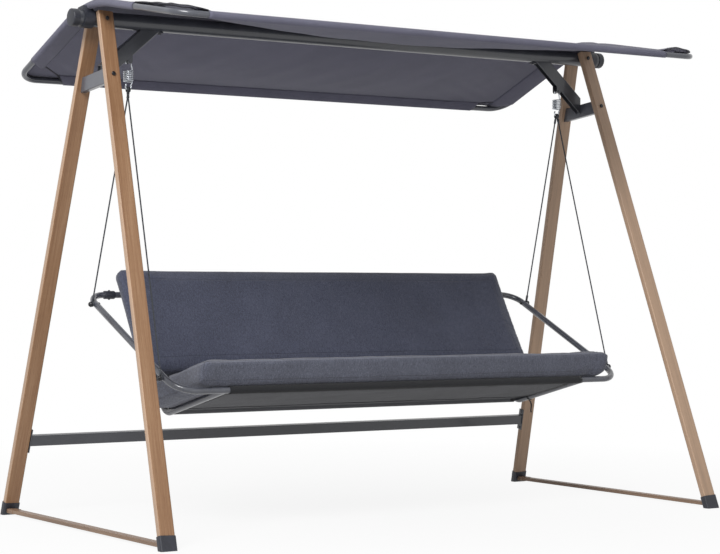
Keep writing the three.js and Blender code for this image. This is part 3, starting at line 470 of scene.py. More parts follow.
# Crossbars, knee braces, stretcher and its plates: pressed and welded steel with rolled
# edges, in the beam's powder coat, the crossbars in a lighter one.
bar_paint = powder_coat("bar_paint", paint(84, 86, 94), paint(98, 101, 110), 0.36)
for node in (
    "crossbar_left", "crossbar_right", "knee_brace_left", "knee_brace_right",
    "stretcher", "stretcher_plate_left", "stretcher_plate_right",
):
    coat = bar_paint if node.startswith("crossbar") else stand_paint
    flatten(soften(refinished(node, "steel", coat, "stand_paint"), 0.0007))


# Bolts: black screws and domed nuts through the legs.
def bolt_black():
    made = Finish("bolt_black", paint(34, 34, 37), 0.34, 0.4)
    worn = made.cloud(made.place(), 160.0, 4.0, 0.6)
    colour = made.mix(made.level(worn, 0.5, 0.75, 0, 0.5), paint(32, 32, 35), paint(70, 70, 74))
    return made.use(colour, made.level(worn, 0.3, 0.7, 0.28, 0.45), worn, 0.0001, 0.2)


bolt_finish = bolt_black()
for kind in ("beam_bolt", "crossbar_bolt"):
    for side in ends:
        bolt = refinished(f"{kind}_{side}", "steel", bolt_finish, "black_bolts", sharp=30)
        soften(bolt, 0.0007)


# Springs: zinc-plated wire, 4.5 mm. The coil is wound close, and a hook is bent up from
# each of its ends: the top one over the brace's pin, the bottom one under the ropes.
spring_x = 0.862
wire_radius = 0.00225
hook_radius = 0.0095
coil_radius = 0.01375
coil_turns = 6
coil_pitch = 0.0056
coil_top = 1.410
coil_bottom = coil_top - coil_turns * coil_pitch - 2 * wire_radius
top_pivot = 1.44455
bench_pivot = 1.350
spring_gap = 0.0003


def zinc_plate():
    made = Finish("zinc_plate", paint(206, 210, 214), 0.26, 1.0)
    bloom = made.cloud(made.place(), 220.0, 4.0, 0.6)
    die_marks = made.cloud(made.place((300, 300, 2500)), 1.0, 2.0)
    colour = made.mix(made.level(bloom, 0.4, 0.7, 0, 1), paint(214, 218, 222), paint(168, 174, 182))
    return made.use(colour, made.level(bloom, 0.3, 0.7, 0.2, 0.38), die_marks, 0.00005, 0.25)


def hook_line(rise, turned_over, x, height):
    points = [Vector((coil_radius, 0, 0))]
    for step in range(25):
        angle = -0.35 + step / 24 * (math.pi + 1.1)
        points.append(Vector((hook_radius * math.cos(angle), 0, rise + hook_radius * math.sin(angle))))
    if turned_over:
        points = [Vector((point.x, point.y, -point.z)) for point in points]
    return [point + Vector((x, beam_y, height)) for point in points]


zinc = zinc_plate()
for side, sign in ends.items():
    x = sign * spring_x
    top_rise = top_pivot - coil_top - hook_radius - spring_gap
    low_rise = coil_bottom - bench_pivot - hook_radius - spring_gap
    for name, line, body, node in (
        ("top", hook_line(top_rise, False, x, coil_top + spring_gap), "spring", "top"),
        ("low", hook_line(low_rise, True, x, coil_bottom - spring_gap), "hook", "bottom"),
    ):
        tube(
            f"spring_{name}_hook_{side}", line, wire_radius, zinc, "zinc_steel",
            f"{body}_{side}", f"spring_hook_{node}_{side}", sides=14,
        )
    turns = []
    for step in range(coil_turns * 24 + 1):
        angle = step / 24 * 2 * math.pi
        turns.append(Vector((
            x + coil_radius * math.cos(angle),
            beam_y + coil_radius * math.sin(angle),
            coil_bottom + wire_radius + step / 24 * coil_pitch,
        )))
    coil = tube(
        f"spring_wound_{side}", turns, wire_radius, zinc, "zinc_steel",
        None, f"spring_coil_{side}", sides=12,
    )
    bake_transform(coil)


# Ropes: plain steel wire rope, 5 mm, with an eye swaged at each end. Two hang in a V from
# each spring and end on a bolt through the arm, held by a domed black cap nut.
rope_radius = 0.0025
eye_radius = 0.007
ferrule_radius = 0.004
ferrule_length = 0.018
ferrule_rim = 0.0015
ferrule_end_radius = ferrule_radius * 0.8
rope_strands = 7
lay_length = 0.030
rope_step = 0.0035
arm_x = 0.870
arm_radius = 0.010
front_bar = Vector((0, -0.337 + beam_y, 0.430))
rear_bar = Vector((0, 0.250 + beam_y, 0.709))
arm_run = (rear_bar - front_bar).normalized()
arm_length = (rear_bar - front_bar).length
rope_bolt_at = {"front": 0.086, "rear": arm_length - 0.0669}
# Each rope bolt's head and cap nut: radii, and heights from the arm's inner and outer side.
shank_radius = 0.003
bolt_head = (
    (0, -0.0035), (0.0045, -0.0035), (0.006, -0.0022), (0.006, 0), (shank_radius, 0),
)
cap_nut = (
    (shank_radius, 0), (0.0085, 0), (0.009, 0.0006), (0.009, 0.0035), (0.0078, 0.0045),
    (0.0068, 0.0075), (0.0045, 0.0094), (0, 0.0102),
)


def steel_rope():
    made = Finish("steel_rope", paint(60, 62, 67), 0.45, 0.6)
    strands = made.cloud(made.place(), 900.0, 2.0)
    colour = made.mix(made.level(strands, 0.35, 0.65, 0, 1), paint(50, 52, 56), paint(88, 91, 97))
    return made.use(colour, made.level(strands, 0.3, 0.7, 0.34, 0.5), strands, 0.0002, 0.5)


def rope_tree():
    """Geometry nodes: a lobed section that turns as it follows the line, as laid strands do."""
    graph, given = shape_group("laid_rope", {
        "Line": "Geometry", "Rope radius": "Float", "Strands": "Int",
        "Lay length": "Float", "Finish": "Material",
    })
    line = graph.add("GeometryNodeMeshToCurve", {"Mesh": given["Line"]})
    spaced = graph.add("GeometryNodeResampleCurve", {
        "Curve": line.outputs["Curve"], "Length": rope_step,
    }, mode="LENGTH")
    so_far = graph.add("GeometryNodeSplineParameter").outputs["Length"]
    turns = graph.combine(so_far, given["Lay length"], "DIVIDE")
    twisted = graph.add("GeometryNodeSetCurveTilt", {
        "Curve": spaced.outputs["Curve"], "Tilt": graph.times(turns, 2 * math.pi),
    })
    star = graph.add("GeometryNodeCurveStar", {
        "Points": given["Strands"], "Outer Radius": given["Rope radius"],
        "Inner Radius": graph.times(given["Rope radius"], 0.74),
    })
    return drawn(graph, twisted.outputs["Curve"], star.outputs["Curve"], given["Finish"])


def as_mesh(name, shape):
    """The mesh of a finished shape, which is let go."""
    mesh = bpy.data.meshes.new(name)
    shape.to_mesh(mesh)
    shape.free()
    return mesh


def joined(name, meshes):
    """Several meshes as one, for parts that are made in one piece."""
    whole = bmesh.new()
    for mesh in meshes:
        whole.from_mesh(mesh)
    return smooth(as_mesh(name, whole))


def turned(name, centre, axis, edges, segments=24):
    """A turned piece: the radius and height of each edge along its axis; closed if hollow."""
    across = axis.orthogonal().normalized()
    through = axis.cross(across)
    shape = bmesh.new()
    rings = []
    for radius, height in edges:
        spot = centre + axis * height
        if radius < 1e-6:
            rings.append([shape.verts.new(spot)])
            continue
        rings.append([
            shape.verts.new(
                spot + across * radius * math.cos(step / segments * 2 * math.pi)
                + through * radius * math.sin(step / segments * 2 * math.pi)
            )
            for step in range(segments)
        ])
    pairs = list(zip(rings, rings[1:]))
    if len(rings[0]) > 1:
        pairs.append((rings[-1], rings[0]))
    for low, high in pairs:
        for step in range(segments):
            after = (step + 1) % segments
            corners = ((low, step), (low, after), (high, after), (high, step))
            shape.faces.new(list(dict.fromkeys(ring[at % len(ring)] for ring, at in corners)))
    bmesh.ops.recalc_face_normals(shape, faces=shape.faces)
    return smooth(as_mesh(name, shape))


def on_arm(x, distance):
    spot = front_bar + arm_run * distance
    return Vector((x, spot.y, spot.z))


rope_finish = steel_rope()
rope_shape = rope_tree()
for side, sign in ends.items():
    for end, spacing in (("front", rope_radius + spring_gap), ("rear", -rope_radius - spring_gap)):
        in_hook = hook_radius - wire_radius - rope_radius - spring_gap
        beside = rope_radius + spring_gap
        hook_eye = hook_radius - math.sqrt(in_hook ** 2 - beside ** 2) - eye_radius
        bolt_eye = eye_radius - rope_radius - shank_radius - spring_gap
        top = Vector((sign * (spring_x + spacing), beam_y, bench_pivot + hook_eye))
        eye_x = arm_x + arm_radius + 2 * spring_gap + rope_radius
        low = on_arm(sign * eye_x, rope_bolt_at[end]) + Vector((0, 0, bolt_eye))
        down = (low - top).normalized()
        line = [top + down * eye_radius, low - down * eye_radius]
        parts = [grow(f"rope_line_{end}_{side}", line, rope_shape, {
            "Rope radius": rope_radius, "Strands": rope_strands,
            "Lay length": lay_length, "Finish": rope_finish,
        })]
        for centre, reach in ((top, 1), (low, -1)):
            ring = [
                centre + Vector((0, math.cos(a), math.sin(a))) * eye_radius
                for a in (step / 28 * 2 * math.pi for step in range(28))
            ]
            eye_name = f"rope_eye_{end}_{side}"
            parts.append(round_line(eye_name, ring, rope_radius, 12, rope_finish, closed=True))
            near = eye_radius + rope_radius
            far = near + ferrule_length
            parts.append(turned(f"ferrule_{end}_{side}", centre, down * reach, [
                (0, near), (ferrule_end_radius, near), (ferrule_radius, near + ferrule_rim),
                (ferrule_radius, far - ferrule_rim), (ferrule_end_radius, far), (0, far),
            ], 16))
        name = f"rope_{end}_{side}_laid"
        shown(name, joined(name, parts), rope_finish, "steel_rope", "bench", f"rope_{end}_{side}")
        bolt_at = on_arm(sign * (arm_x + arm_radius + spring_gap), rope_bolt_at[end])
        inside = -2 * arm_radius - spring_gap
        outside = 2 * rope_radius + 2 * spring_gap
        node = f"rope_bolt_{end}_{side}"
        bolt = turned(node, bolt_at, Vector((sign, 0, 0)), [
            (radius, base + height)
            for base, edges in ((inside, bolt_head), (outside, cap_nut))
            for radius, height in edges
        ])
        shown(f"{node}_nut", bolt, bolt_finish, "black_bolts", "bench", node)


# Bench frame: 20 mm round steel tube in a grey powder coat. Two arms bend into a front and
# a rear bar, and two L-shaped rails with a bar across their corner carry the slings.
front_bend = 0.075
rear_bend = 0.060
front_bar_end = 0.790
rear_bar_end = 0.792
rail_x = 0.705
seat_corner = Vector((0, 0.028 + beam_y, 0.336))
lower_bar = Vector((0, 0.0237 + beam_y, 0.3464))
rail_bend = 0.045
rail_notch = 0.004
joint_wall = 0.0030
joint_half = 0.018
joint_rim = 0.0008
# One end of the pin through a joint sleeve: radii, and heights from the sleeve's outside.
joint_pin = ((0, -0.0015), (0.0035, -0.0015), (0.0035, 0.0018), (0.0025, 0.0024), (0, 0.0024))

tube_paint = powder_coat("tube_paint", paint(72, 74, 82), paint(92, 95, 105), 0.30)


def frame_tube(node, points, radius=arm_radius, body="bench", ending="tube"):
    """A painted tube of the bench or the canopy in the place of a packed one."""
    tube(f"{node}_{ending}", points, radius, tube_paint, "tube_paint", body, node)


for side, sign in ends.items():
    corners = [(on_arm(sign * arm_x, 0), front_bend), (on_arm(sign * arm_x, arm_length), rear_bend)]
    start = on_arm(sign * (front_bar_end + spring_gap), 0)
    finish = on_arm(sign * (rear_bar_end + spring_gap), arm_length)
    frame_tube(f"arm_{side}", bent(start, corners, finish))
    x_of = Vector((sign * rail_x, 0, 0))
    rail_corner = seat_corner + x_of
    start = front_bar + x_of + (rail_corner - front_bar - x_of).normalized() * rail_notch
    finish = rear_bar + x_of + (rail_corner - rear_bar - x_of).normalized() * rail_notch
    frame_tube(f"side_rail_{side}", bent(start, [(rail_corner, rail_bend)], finish))
for node, centre, half in (
    ("front_bar", front_bar, front_bar_end), ("rear_bar", rear_bar, rear_bar_end),
    ("lower_bar", lower_bar, rail_x - arm_radius - spring_gap),
):
    frame_tube(node, [centre + Vector((x, 0, 0)) for x in (-half, half)])
for side, sign in ends.items():
    centre = rear_bar + Vector((sign * rear_bar_end, 0, 0))
    bore = arm_radius + spring_gap
    wall = bore + joint_wall
    rim = joint_half - joint_rim
    parts = [turned(f"rear_sleeve_{side}_ring", centre, Vector((1, 0, 0)), [
        (bore, -joint_half), (wall - joint_rim, -joint_half), (wall, -rim),
        (wall, rim), (wall - joint_rim, joint_half), (bore, joint_half),
    ], 32)]
    for up in (1, -1):
        edges = [(radius, wall + height) for radius, height in joint_pin]
        parts.append(turned(f"rear_sleeve_{side}_pin", centre, Vector((0, 0, up)), edges, 16))
    name = f"rear_sleeve_{side}_joint"
    shown(name, joined(name, parts), plastic, "black_plastic", "bench", f"rear_sleeve_{side}")


# Slings: black woven mesh cloth sewn into a sleeve round each bar it hangs on. The seat
# sling runs from the front bar to the bar in the corner, the back sling from there up.
sling_half = 0.693
sling_thickness = 0.0012
hem_radius = 0.0118
hem_overlap = 0.042
hem_drop = 0.0016
side_hem = 0.022
sling_sag = 0.007
sling_folds = 0.0022
sling_pulls = 0.0048


def woven_cloth(name, base, light, threads, roughness, sheen, hems=None):
    """A plain weave on the cloth's own flat pattern, in metres, with darker hems or none."""
    made = Finish(name, base, roughness)
    at = made.laid("cloth", (threads, threads, 1))
    threads_at = made.add("ShaderNodeSeparateXYZ", {0: at}).outputs
    over, under = (
        made.combine(made.times(threads_at[way], 2 * math.pi), 0.0, "SINE") for way in "XY"
    )
    weave = made.times(over, under)
    slub = made.cloud(made.laid("cloth", (30, 900, 1)), 1.0, 3.0, 0.6)
    blotch = made.cloud(made.laid("cloth", (5, 5, 1)), 1.0, 3.0, 0.6)
    tone = made.combine(made.times(slub, 0.6), made.times(blotch, 0.4))
    colour = made.mix(made.level(tone, 0.35, 0.65, 0, 1), base, light)
    if hems:
        plain = made.add("ShaderNodeSeparateXYZ", {0: made.laid("cloth")})
        across = made.combine(plain.outputs["X"], 0.0, "ABSOLUTE")
        at_side = made.level(across, hems[0] - 0.0005, hems[0] + 0.0005, 0, 1)
        at_front = made.level(plain.outputs["Y"], hems[1] + 0.0005, hems[1] - 0.0005, 0, 1)
        colour = made.mix(made.combine(at_side, at_front, "MAXIMUM"), colour, hems[2])
    made.sheen(sheen, 0.5)
    dull = made.level(slub, 0.3, 0.7, roughness - 0.05, roughness + 0.05)
    return made.use(colour, dull, weave, 0.0003, 0.5)


def around(centre, axis_along, axis_up, first, last, radius, steps=18):
    """Points round a bar in the side view, from one angle to another."""
    return [
        centre + axis_along * radius * math.cos(a) + axis_up * radius * math.sin(a)
        for a in (first + (last - first) * step / steps for step in range(steps + 1))
    ]


def lay_patch(shape, pattern, rows):
    """Adds a patch of cloth from rows of (place, place on the flat pattern)."""
    made = [[(shape.verts.new(place), flat) for place, flat in row] for row in rows]
    for low, high in zip(made, made[1:]):
        for i in range(len(low) - 1):
            corners = (low[i], low[i + 1], high[i + 1], high[i])
            face = shape.faces.new([corner[0] for corner in corners])
            face.smooth = True
            for loop, (_, flat) in zip(face.loops, corners):
                loop[pattern].uv = flat


def cloth_mesh(name, path, half, columns, lift):
    """A sheet of cloth: a side-view path carried across the bench, with its flat pattern."""
    lengths = [0.0]
    for before, after in zip(path, path[1:]):
        lengths.append(lengths[-1] + (after - before).length)
    xs = [-half + 2 * half * column / columns for column in range(columns + 1)]
    shape = bmesh.new()
    lay_patch(shape, shape.loops.layers.uv.new("cloth"), [
        [(spot + Vector((x, 0, 0)) + lift(x, spot), (x, run)) for x in xs]
        for spot, run in zip(path, lengths)
    ])
    return as_mesh(name, shape), lengths[-1]


def thicken(made, thickness, offset):
    wall = made.modifiers.new("cloth_thickness", "SOLIDIFY")
    wall.thickness = thickness
    wall.offset = offset
    wall.use_even_offset = True
    return made


def refined(path, step):
    """More points on the straight stretches of a path."""
    made = [path[0]]
    for before, after in zip(path, path[1:]):
        parts = max(1, round((after - before).length / step))
        for part in range(1, parts + 1):
            made.append(before.lerp(after, part / parts))
    return made


sleeve_run = hem_overlap + 2 * math.pi * hem_radius
sling_cloth = woven_cloth(
    "sling_cloth", paint(68, 69, 72), paint(90, 91, 95), 700, 0.88, 0.1,
    hems=(sling_half - side_hem, sleeve_run, paint(18, 19, 23)),
)
for name, node, first_bar, last_bar, both in (
    ("seat_sling_cloth", "seat_sling", front_bar, lower_bar, True),
    ("back_sling_cloth", "back_sling", rear_bar, lower_bar, False),
):
    run = (last_bar - first_bar).normalized()
    up = Vector((0, -run.z, run.y))
    if up.z < 0:
        up = -up
    path = [first_bar + run * (hem_radius + hem_overlap) - up * hem_drop]
    path += around(first_bar, run, up, -0.14, -2 * math.pi + 0.02, hem_radius)
    if both:
        path += around(last_bar, run, up, math.pi - 0.02, -math.pi + 0.14, hem_radius)
        path.append(last_bar - run * (hem_radius + hem_overlap) - up * hem_drop)
    else:
        path.append(last_bar - run * (hem_radius + 0.0015))
    path = refined(path, 0.012)
    span = (last_bar - first_bar).length

    def sling_lift(x, spot, first_bar=first_bar, run=run, up=up, span=span):
        """How the cloth between the bars sags, folds and pulls."""
        along = max(0.0, min(1.0, (spot - first_bar).dot(run) / span))
        clear = 1.0
        for from_bar in (along * span, (1 - along) * span):
            clear *= min(1.0, max(0.0, (from_bar - hem_radius) / 0.06))
        belly = 4 * along * (1 - along)
        fold = noise.noise(Vector((x * 6 + along * 9, along * 2.4, 0.7)))
        pull = noise.noise(Vector(((x - along * 0.22) * 17, along * 1.3, 5.1)))
        taut = max(0.0, 1 - abs(x - 0.35) / 0.55)
        edge = min(1.0, (sling_half - abs(x)) / 0.12)
        ripple = sling_folds * fold + sling_pulls * taut * pull
        return up * clear * (ripple * edge - sling_sag * belly)

    sheet, length = cloth_mesh(name, path, sling_half, 116, sling_lift)
    sling = shown(name, sheet, sling_cloth, "sling_fabric", "bench", node)
    thicken(sling, sling_thickness, 0)


# Tie strap: a loop of black tape round the right rail, its end hanging down.
tie_share = 0.78
tie_at = front_bar.lerp(seat_corner, tie_share) + Vector((rail_x, 0, 0))
tie_ring = 0.0113
tape_width = 0.006
tape_thickness = 0.0011
seat_rearward = (seat_corner - front_bar).normalized()
seat_normal = Vector((0, -seat_rearward.z, seat_rearward.y))


def tape_and_shade_ribbing(name, base, tones, roughness, size, stretch=(1, 1, 1)):
    """Ribbed cloth finish in two tones, so fine that it shows as a grain: for woven tape, and for the
    dark strips that paint shade on the canopy cover.
    """
    made = Finish(name, base, roughness)
    rib = made.cloud(made.place(stretch), size, 2.0)
    colour = made.mix(made.level(rib, 0.4, 0.6, 0, 1), *tones)
    made.sheen(0.2)
    return made.use(colour, None, rib, 0.0002, 0.5)


def ribbon(name, spots, width_way, width, thickness):
    """A flat tape along a line of points, with its width in one given direction."""
    shape = bmesh.new()
    rows = []
    for i, spot in enumerate(spots):
        ahead_of = (spots[min(i + 1, len(spots) - 1)] - spots[max(i - 1, 0)]).normalized()
        out = ahead_of.cross(width_way).normalized()
        rows.append([
            shape.verts.new(spot + width_way * a * width / 2 + out * b * thickness / 2)
            for a, b in ((-1, -1), (1, -1), (1, 1), (-1, 1))
        ])
    for low, high in zip(rows, rows[1:]):
        for side_of in range(4):
            after = (side_of + 1) % 4
            shape.faces.new((low[side_of], low[after], high[after], high[side_of]))
    shape.faces.new(rows[0][::-1])
    shape.faces.new(rows[-1])
    bmesh.ops.recalc_face_normals(shape, faces=shape.faces)
    return smooth(as_mesh(name, shape))


black_tape = tape_and_shade_ribbing(
    "black_tape", paint(30, 30, 33), (paint(26, 26, 29), paint(52, 52, 56)),
    0.8, 1.0, (2600, 2600, 260),
)
tie_loop = [
    tie_at + Vector((math.sin(a), 0, 0)) * tie_ring + seat_normal * math.cos(a) * tie_ring
    for a in (step / 36 * 2 * math.pi for step in range(37))
]
tie_end = [
    tie_at + Vector((0.004 * math.sin(s * 5) + 0.016 * s, 0.004 * s, -0.0118 - 0.044 * s))
    for s in (step / 12 for step in range(13))
]
shown(
    "tie_strap_tape",
    joined("tie_strap_tape", [
        ribbon("tie_loop", tie_loop, seat_rearward, tape_width, tape_thickness),
        ribbon("tie_end", tie_end, seat_rearward, tape_width, tape_thickness),
    ]),
    black_tape, "black_tape", "bench", "tie_strap",
)


# Cushions: foam blocks in boxed covers, a thick seat and a thinner, narrower back. Each
# cover has a top and a bottom panel sewn to a band with lapped seams.
back_upward = (rear_bar - seat_corner).normalized()
back_normal = Vector((0, -back_upward.z, back_upward.y))
def melange(name, dark, base, light, seam_highlight, streaks):
    """Two-tone yarn: short slubs one way, soft patches, and a lapped seam at the edges, with a painted
    highlight along the top seam.
    """
    made = Finish(name, base, 0.93)
    slub = made.cloud(made.place(streaks), 1.0, 3.0, 0.7)
    fine = made.cloud(made.place((520, 380, 380)), 1.0, 2.0, 0.7)
    blotch = made.cloud(made.place(), 7.0, 3.0, 0.6)
    tone = made.combine(
        made.combine(made.times(slub, 0.42), made.times(fine, 0.48)),
        made.times(blotch, 0.10),
    )
    colour = made.ramp(tone, ((0.38, dark), (0.5, base), (0.62, light)))
    lines = None
    # The top seam is tinted lighter as a painted highlight along the cover's top edge; the bottom and
    # corner seams are darkened.
    for seam, share, seam_tint in (
        ("seam_top", 0.6, seam_highlight), ("seam_bottom", 0.35, dark), ("seam_corner", 0.5, dark),
    ):
        signed = made.add("ShaderNodeAttribute", attribute_name=seam).outputs["Fac"]
        away = made.combine(signed, 0.0, "ABSOLUTE")
        line = made.level(away, 0.0008, 0.0028, 1.0, 0.0)
        lines = line if lines is None else made.combine(lines, line, "MAXIMUM")
        colour = made.mix(made.times(line, share), colour, seam_tint)
    weave = made.cloud(made.place(), 1300.0, 2.0, 0.5)
    height = made.combine(made.combine(weave, made.times(slub, 0.8)), made.times(lines, -1.4))
    made.sheen(0.25, 0.55)
    return made.use(colour, made.level(slub, 0.3, 0.7, 0.86, 0.98), height, 0.0012, 0.55)


def blown_up(made, rest, pressure, cap):
    """Blows a closed cover up with Cloth, no point of it further than a given way."""
    cloth = made.modifiers.new("cover", "CLOTH")
    cloth.settings.quality = 4
    cloth.settings.use_pressure = True
    cloth.settings.uniform_pressure_force = pressure
    cloth.settings.effector_weights.gravity = 0
    cloth.collision_settings.use_collision = False
    cloth.collision_settings.use_self_collision = False
    for at_frame in range(1, 21):
        scene.frame_set(at_frame)
    seen = made.evaluated_get(bpy.context.evaluated_depsgraph_get())
    blown = [vertex.co.copy() for vertex in seen.data.vertices]
    made.modifiers.remove(cloth)
    scene.frame_set(1)
    for vertex, before, after in zip(made.data.vertices, rest, blown):
        moved = after - before
        if moved.length > cap:
            moved *= cap / moved.length
        vertex.co = before + moved


def cushion(node, run, up, thinner, fuller, crown, cap, fabric):
    """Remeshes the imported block, blows its cover up and marks the seams.

    The block is first made thinner by a share of its thickness, which the swell brings
    back, and fuller in metres at its ends and at its far edge. The stuffing swells it by the
    crown, and the blowing up by the cap at most.
    """
    name = f"{node}_cover"
    block = from_solid(node, f"{name}_block")
    spots = [vertex.co for vertex in block.vertices]
    ended = max(s.x for s in spots)
    base_run, whole_run = min(s.dot(run) for s in spots), max(s.dot(run) for s in spots)
    for spot in spots:
        along = (spot.dot(run) - base_run) / (whole_run - base_run)
        spot += run * along * fuller[1] + Vector((spot.x / ended * fuller[0], 0, 0))
    low_run, high_run = min(s.dot(run) for s in spots), max(s.dot(run) for s in spots)
    low_up, high_up = min(s.dot(up) for s in spots), max(s.dot(up) for s in spots)
    half = max(s.x for s in spots)
    middle = (low_up + high_up) / 2
    for vertex in block.vertices:
        away = vertex.co.dot(up) - middle
        vertex.co -= up * away * thinner
    carrier = bpy.data.objects.new(f"{name}_block", block)
    scene.collection.objects.link(carrier)
    remesh = carrier.modifiers.new("even_cover", "REMESH")
    remesh.mode = "VOXEL"
    remesh.voxel_size = cover_grain
    seen = carrier.evaluated_get(bpy.context.evaluated_depsgraph_get())
    skin = bpy.data.meshes.new_from_object(seen)
    bpy.data.objects.remove(carrier)
    skin.name = name
    made = bpy.data.objects.new(name, skin)
    scene.collection.objects.link(made)
    rest = [vertex.co.copy() for vertex in skin.vertices]
    thick = (high_up - low_up) * (1 - thinner)
    bottom_run = min(s.dot(run) for s in spots if s.dot(up) < low_up + (high_up - low_up) * 0.4)

    def depths(co):
        """How far a point is from the block's sides, front, rear, top and bottom."""
        share = (co.dot(up) - middle) / thick + 0.5
        front = bottom_run + (low_run - bottom_run) * share
        return (
            half - abs(co.x), co.dot(run) - front, high_run - co.dot(run),
            thick * (1 - share), thick * share,
        )

    marks = {"seam_top": [], "seam_bottom": [], "seam_corner": []}
    for co in rest:
        side_d, front_d, rear_d, top_d, bottom_d = depths(co)
        edge = min(side_d, front_d, rear_d)
        marks["seam_top"].append(top_d - edge)
        marks["seam_bottom"].append(bottom_d - edge)
        on_band = min(side_d, front_d) < min(top_d, bottom_d) + 0.012
        marks["seam_corner"].append(side_d - front_d if on_band else 1.0)
    blown_up(made, rest, 4.0, cap)
    crowned(skin, run, up, half, low_run, high_run, middle, thick, crown)
    for seam, values in marks.items():
        layer = skin.attributes.new(seam, "FLOAT", "POINT")
        layer.data.foreach_set("value", values)
    for face in skin.polygons:
        face.use_smooth = True
    skin.materials.clear()
    skin.materials.append(fabric)
    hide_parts(node)
    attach(made, "bench")
    return made


def crowned(skin, run, up, half, low_run, high_run, middle, thick, crown):
    """The stuffing's own swell and the soft waves of a cover that has been sat on."""
    for vertex in skin.vertices:
        co = vertex.co
        across = co.x / half
        along = 2 * (co.dot(run) - low_run) / (high_run - low_run) - 1
        side_of = max(-1.0, min(1.0, (co.dot(up) - middle) / (thick / 2)))
        swell = (1 - min(1.0, abs(across)) ** 5) * (1 - 0.55 * min(1.0, abs(along)) ** 3)
        wave = noise.noise(Vector((co.x * 5.5, along * 1.4, side_of * 0.5 + 3.1)))
        ripple = noise.noise(Vector((co.x * 19, along * 2.6, side_of * 0.8 + 7.7)))
        vertex.co = co + up * side_of * (crown * swell + 0.0022 * wave + 0.0008 * ripple)


seat_fabric = melange(
    "seat_fabric", paint(54, 56, 67), paint(80, 83, 97), paint(108, 112, 128), paint(136, 140, 156),
    (420, 90, 90),
)
# The back cover is the seat's yarn in darker tones: painted shade from the canopy over it.
back_fabric = melange(
    "back_fabric", paint(44, 47, 62), paint(66, 70, 90), paint(90, 95, 116), paint(80, 84, 103),
    (400, 110, 110),
)
cover_grain = 0.009
cushion(
    "seat_cushion", seat_rearward, seat_normal,
    thinner=0.20, fuller=(0.009, 0.0), crown=0.004, cap=0.010, fabric=seat_fabric,
)
cushion(
    "back_cushion", back_upward, back_normal,
    thinner=0.16, fuller=(0.014, 0.017), crown=0.003, cap=0.009, fabric=back_fabric,
)


# Canopy frame: 19 mm round tube, two arched sides whose ends bend round the corners into
# the front and the rear tube, carried on black clamps at the beam's ends.
canopy_x = 1.002
canopy_front = 0.563
canopy_rear = 0.509
canopy_slope = math.radians(16.15)
canopy_tilt = math.radians(6.95)
arch_radius = 0.523
arch_half = arch_radius * math.sin(canopy_slope)
canopy_tube_radius = 0.0095
canopy_tube_lift = 0.0366
canopy_corner = 0.066
edge_tube_half = canopy_x - canopy_corner - 0.100


def tilted(local):
    """From the canopy's own level frame on the beam's axis to where it hangs."""
    return Vector((
        local.x,
        beam_y + local.y * math.cos(canopy_tilt) + local.z * math.sin(canopy_tilt),
        beam_z - local.y * math.sin(canopy_tilt) + local.z * math.cos(canopy_tilt),
    ))


def arch(x, y, lift=0.0):
    """A point over the arched side line, in the canopy's own frame."""
    flat = min(abs(y), arch_half)
    angle = -math.copysign(math.asin(flat / arch_radius), y)
    height = math.sqrt(arch_radius ** 2 - flat ** 2) - arch_radius
    height -= (abs(y) - flat) * math.tan(canopy_slope)
    return Vector((x, y - lift * math.sin(angle), height + lift * math.cos(angle) + canopy_tube_lift))


def edge_y(end):
    return -canopy_front if end < 0 else canopy_rear


for side, sign in ends.items():
    x = sign * canopy_x
    start = tilted(arch(sign * (edge_tube_half + spring_gap), edge_y(-1)))
    finish = tilted(arch(sign * (edge_tube_half + spring_gap), edge_y(1)))
    line = bent(start, [(tilted(arch(x, edge_y(-1))), canopy_corner)], tilted(arch(x, -arch_half)))
    line += [tilted(arch(x, (i / 10 - 1) * arch_half)) for i in range(1, 20)]
    line += bent(tilted(arch(x, arch_half)), [(tilted(arch(x, edge_y(1))), canopy_corner)], finish)
    frame_tube(f"canopy_side_{side}", line, canopy_tube_radius, "canopy")
    clamp = refinished(f"canopy_clamp_{side}", "block", plastic, "black_plastic", "canopy", 30)
    soften(clamp, 0.0008)
for node, end in (("canopy_front_tube", -1), ("canopy_rear_tube", 1)):
    line = [tilted(arch(x, edge_y(end))) for x in (-edge_tube_half, edge_tube_half)]
    frame_tube(node, line, canopy_tube_radius, "canopy", "line")


# Canopy cover: one sheet of coated cloth with a sleeve sewn round each tube. It rests on
# the beam, sags before and behind it, and stands free of the bare tube round each corner.
sleeve_radius = 0.0112
sleeve_wrap = 0.036
side_depth = 0.066
edge_depth = 0.026
seam_drop = 0.0022
cover_thickness = 0.0011
slant_run = 0.10
under_sag = 0.0030
hug_half = 0.13
hug_fade = 0.05
# Corners by side (-1 left) and end (-1 front): how far short of them the sleeves stop, along
# the edge and along the side, and how high the sheet lifts there, over a little more.
corner_open = {
    (-1, -1): (0.090, 0.265),
    (1, -1): (0.150, 0.110),
    (-1, 1): (0.165, 0.125),
    (1, 1): (0.150, 0.060),
}
corner_lift = {(-1, -1): 0.012, (1, -1): 0.014, (-1, 1): 0.001, (1, 1): 0.004}
lift_reach = 1.15
sheet_border = 0.025
sheet_sag = 0.039
sheet_apex = 0.0300
sheet_on_beam = 0.0266
beam_touch = 0.0118
soft_waves = 0.0045
creases = 0.0026
gathers = 0.0110
# How far the sheet rises over each leg's top, how near the top along x and along y it does
# so, and over what length of that the rise fades out.
over_legs = 0.008
over_legs_x, over_legs_y = 0.042, 0.085
over_fade_x, over_fade_y = 0.014, 0.035


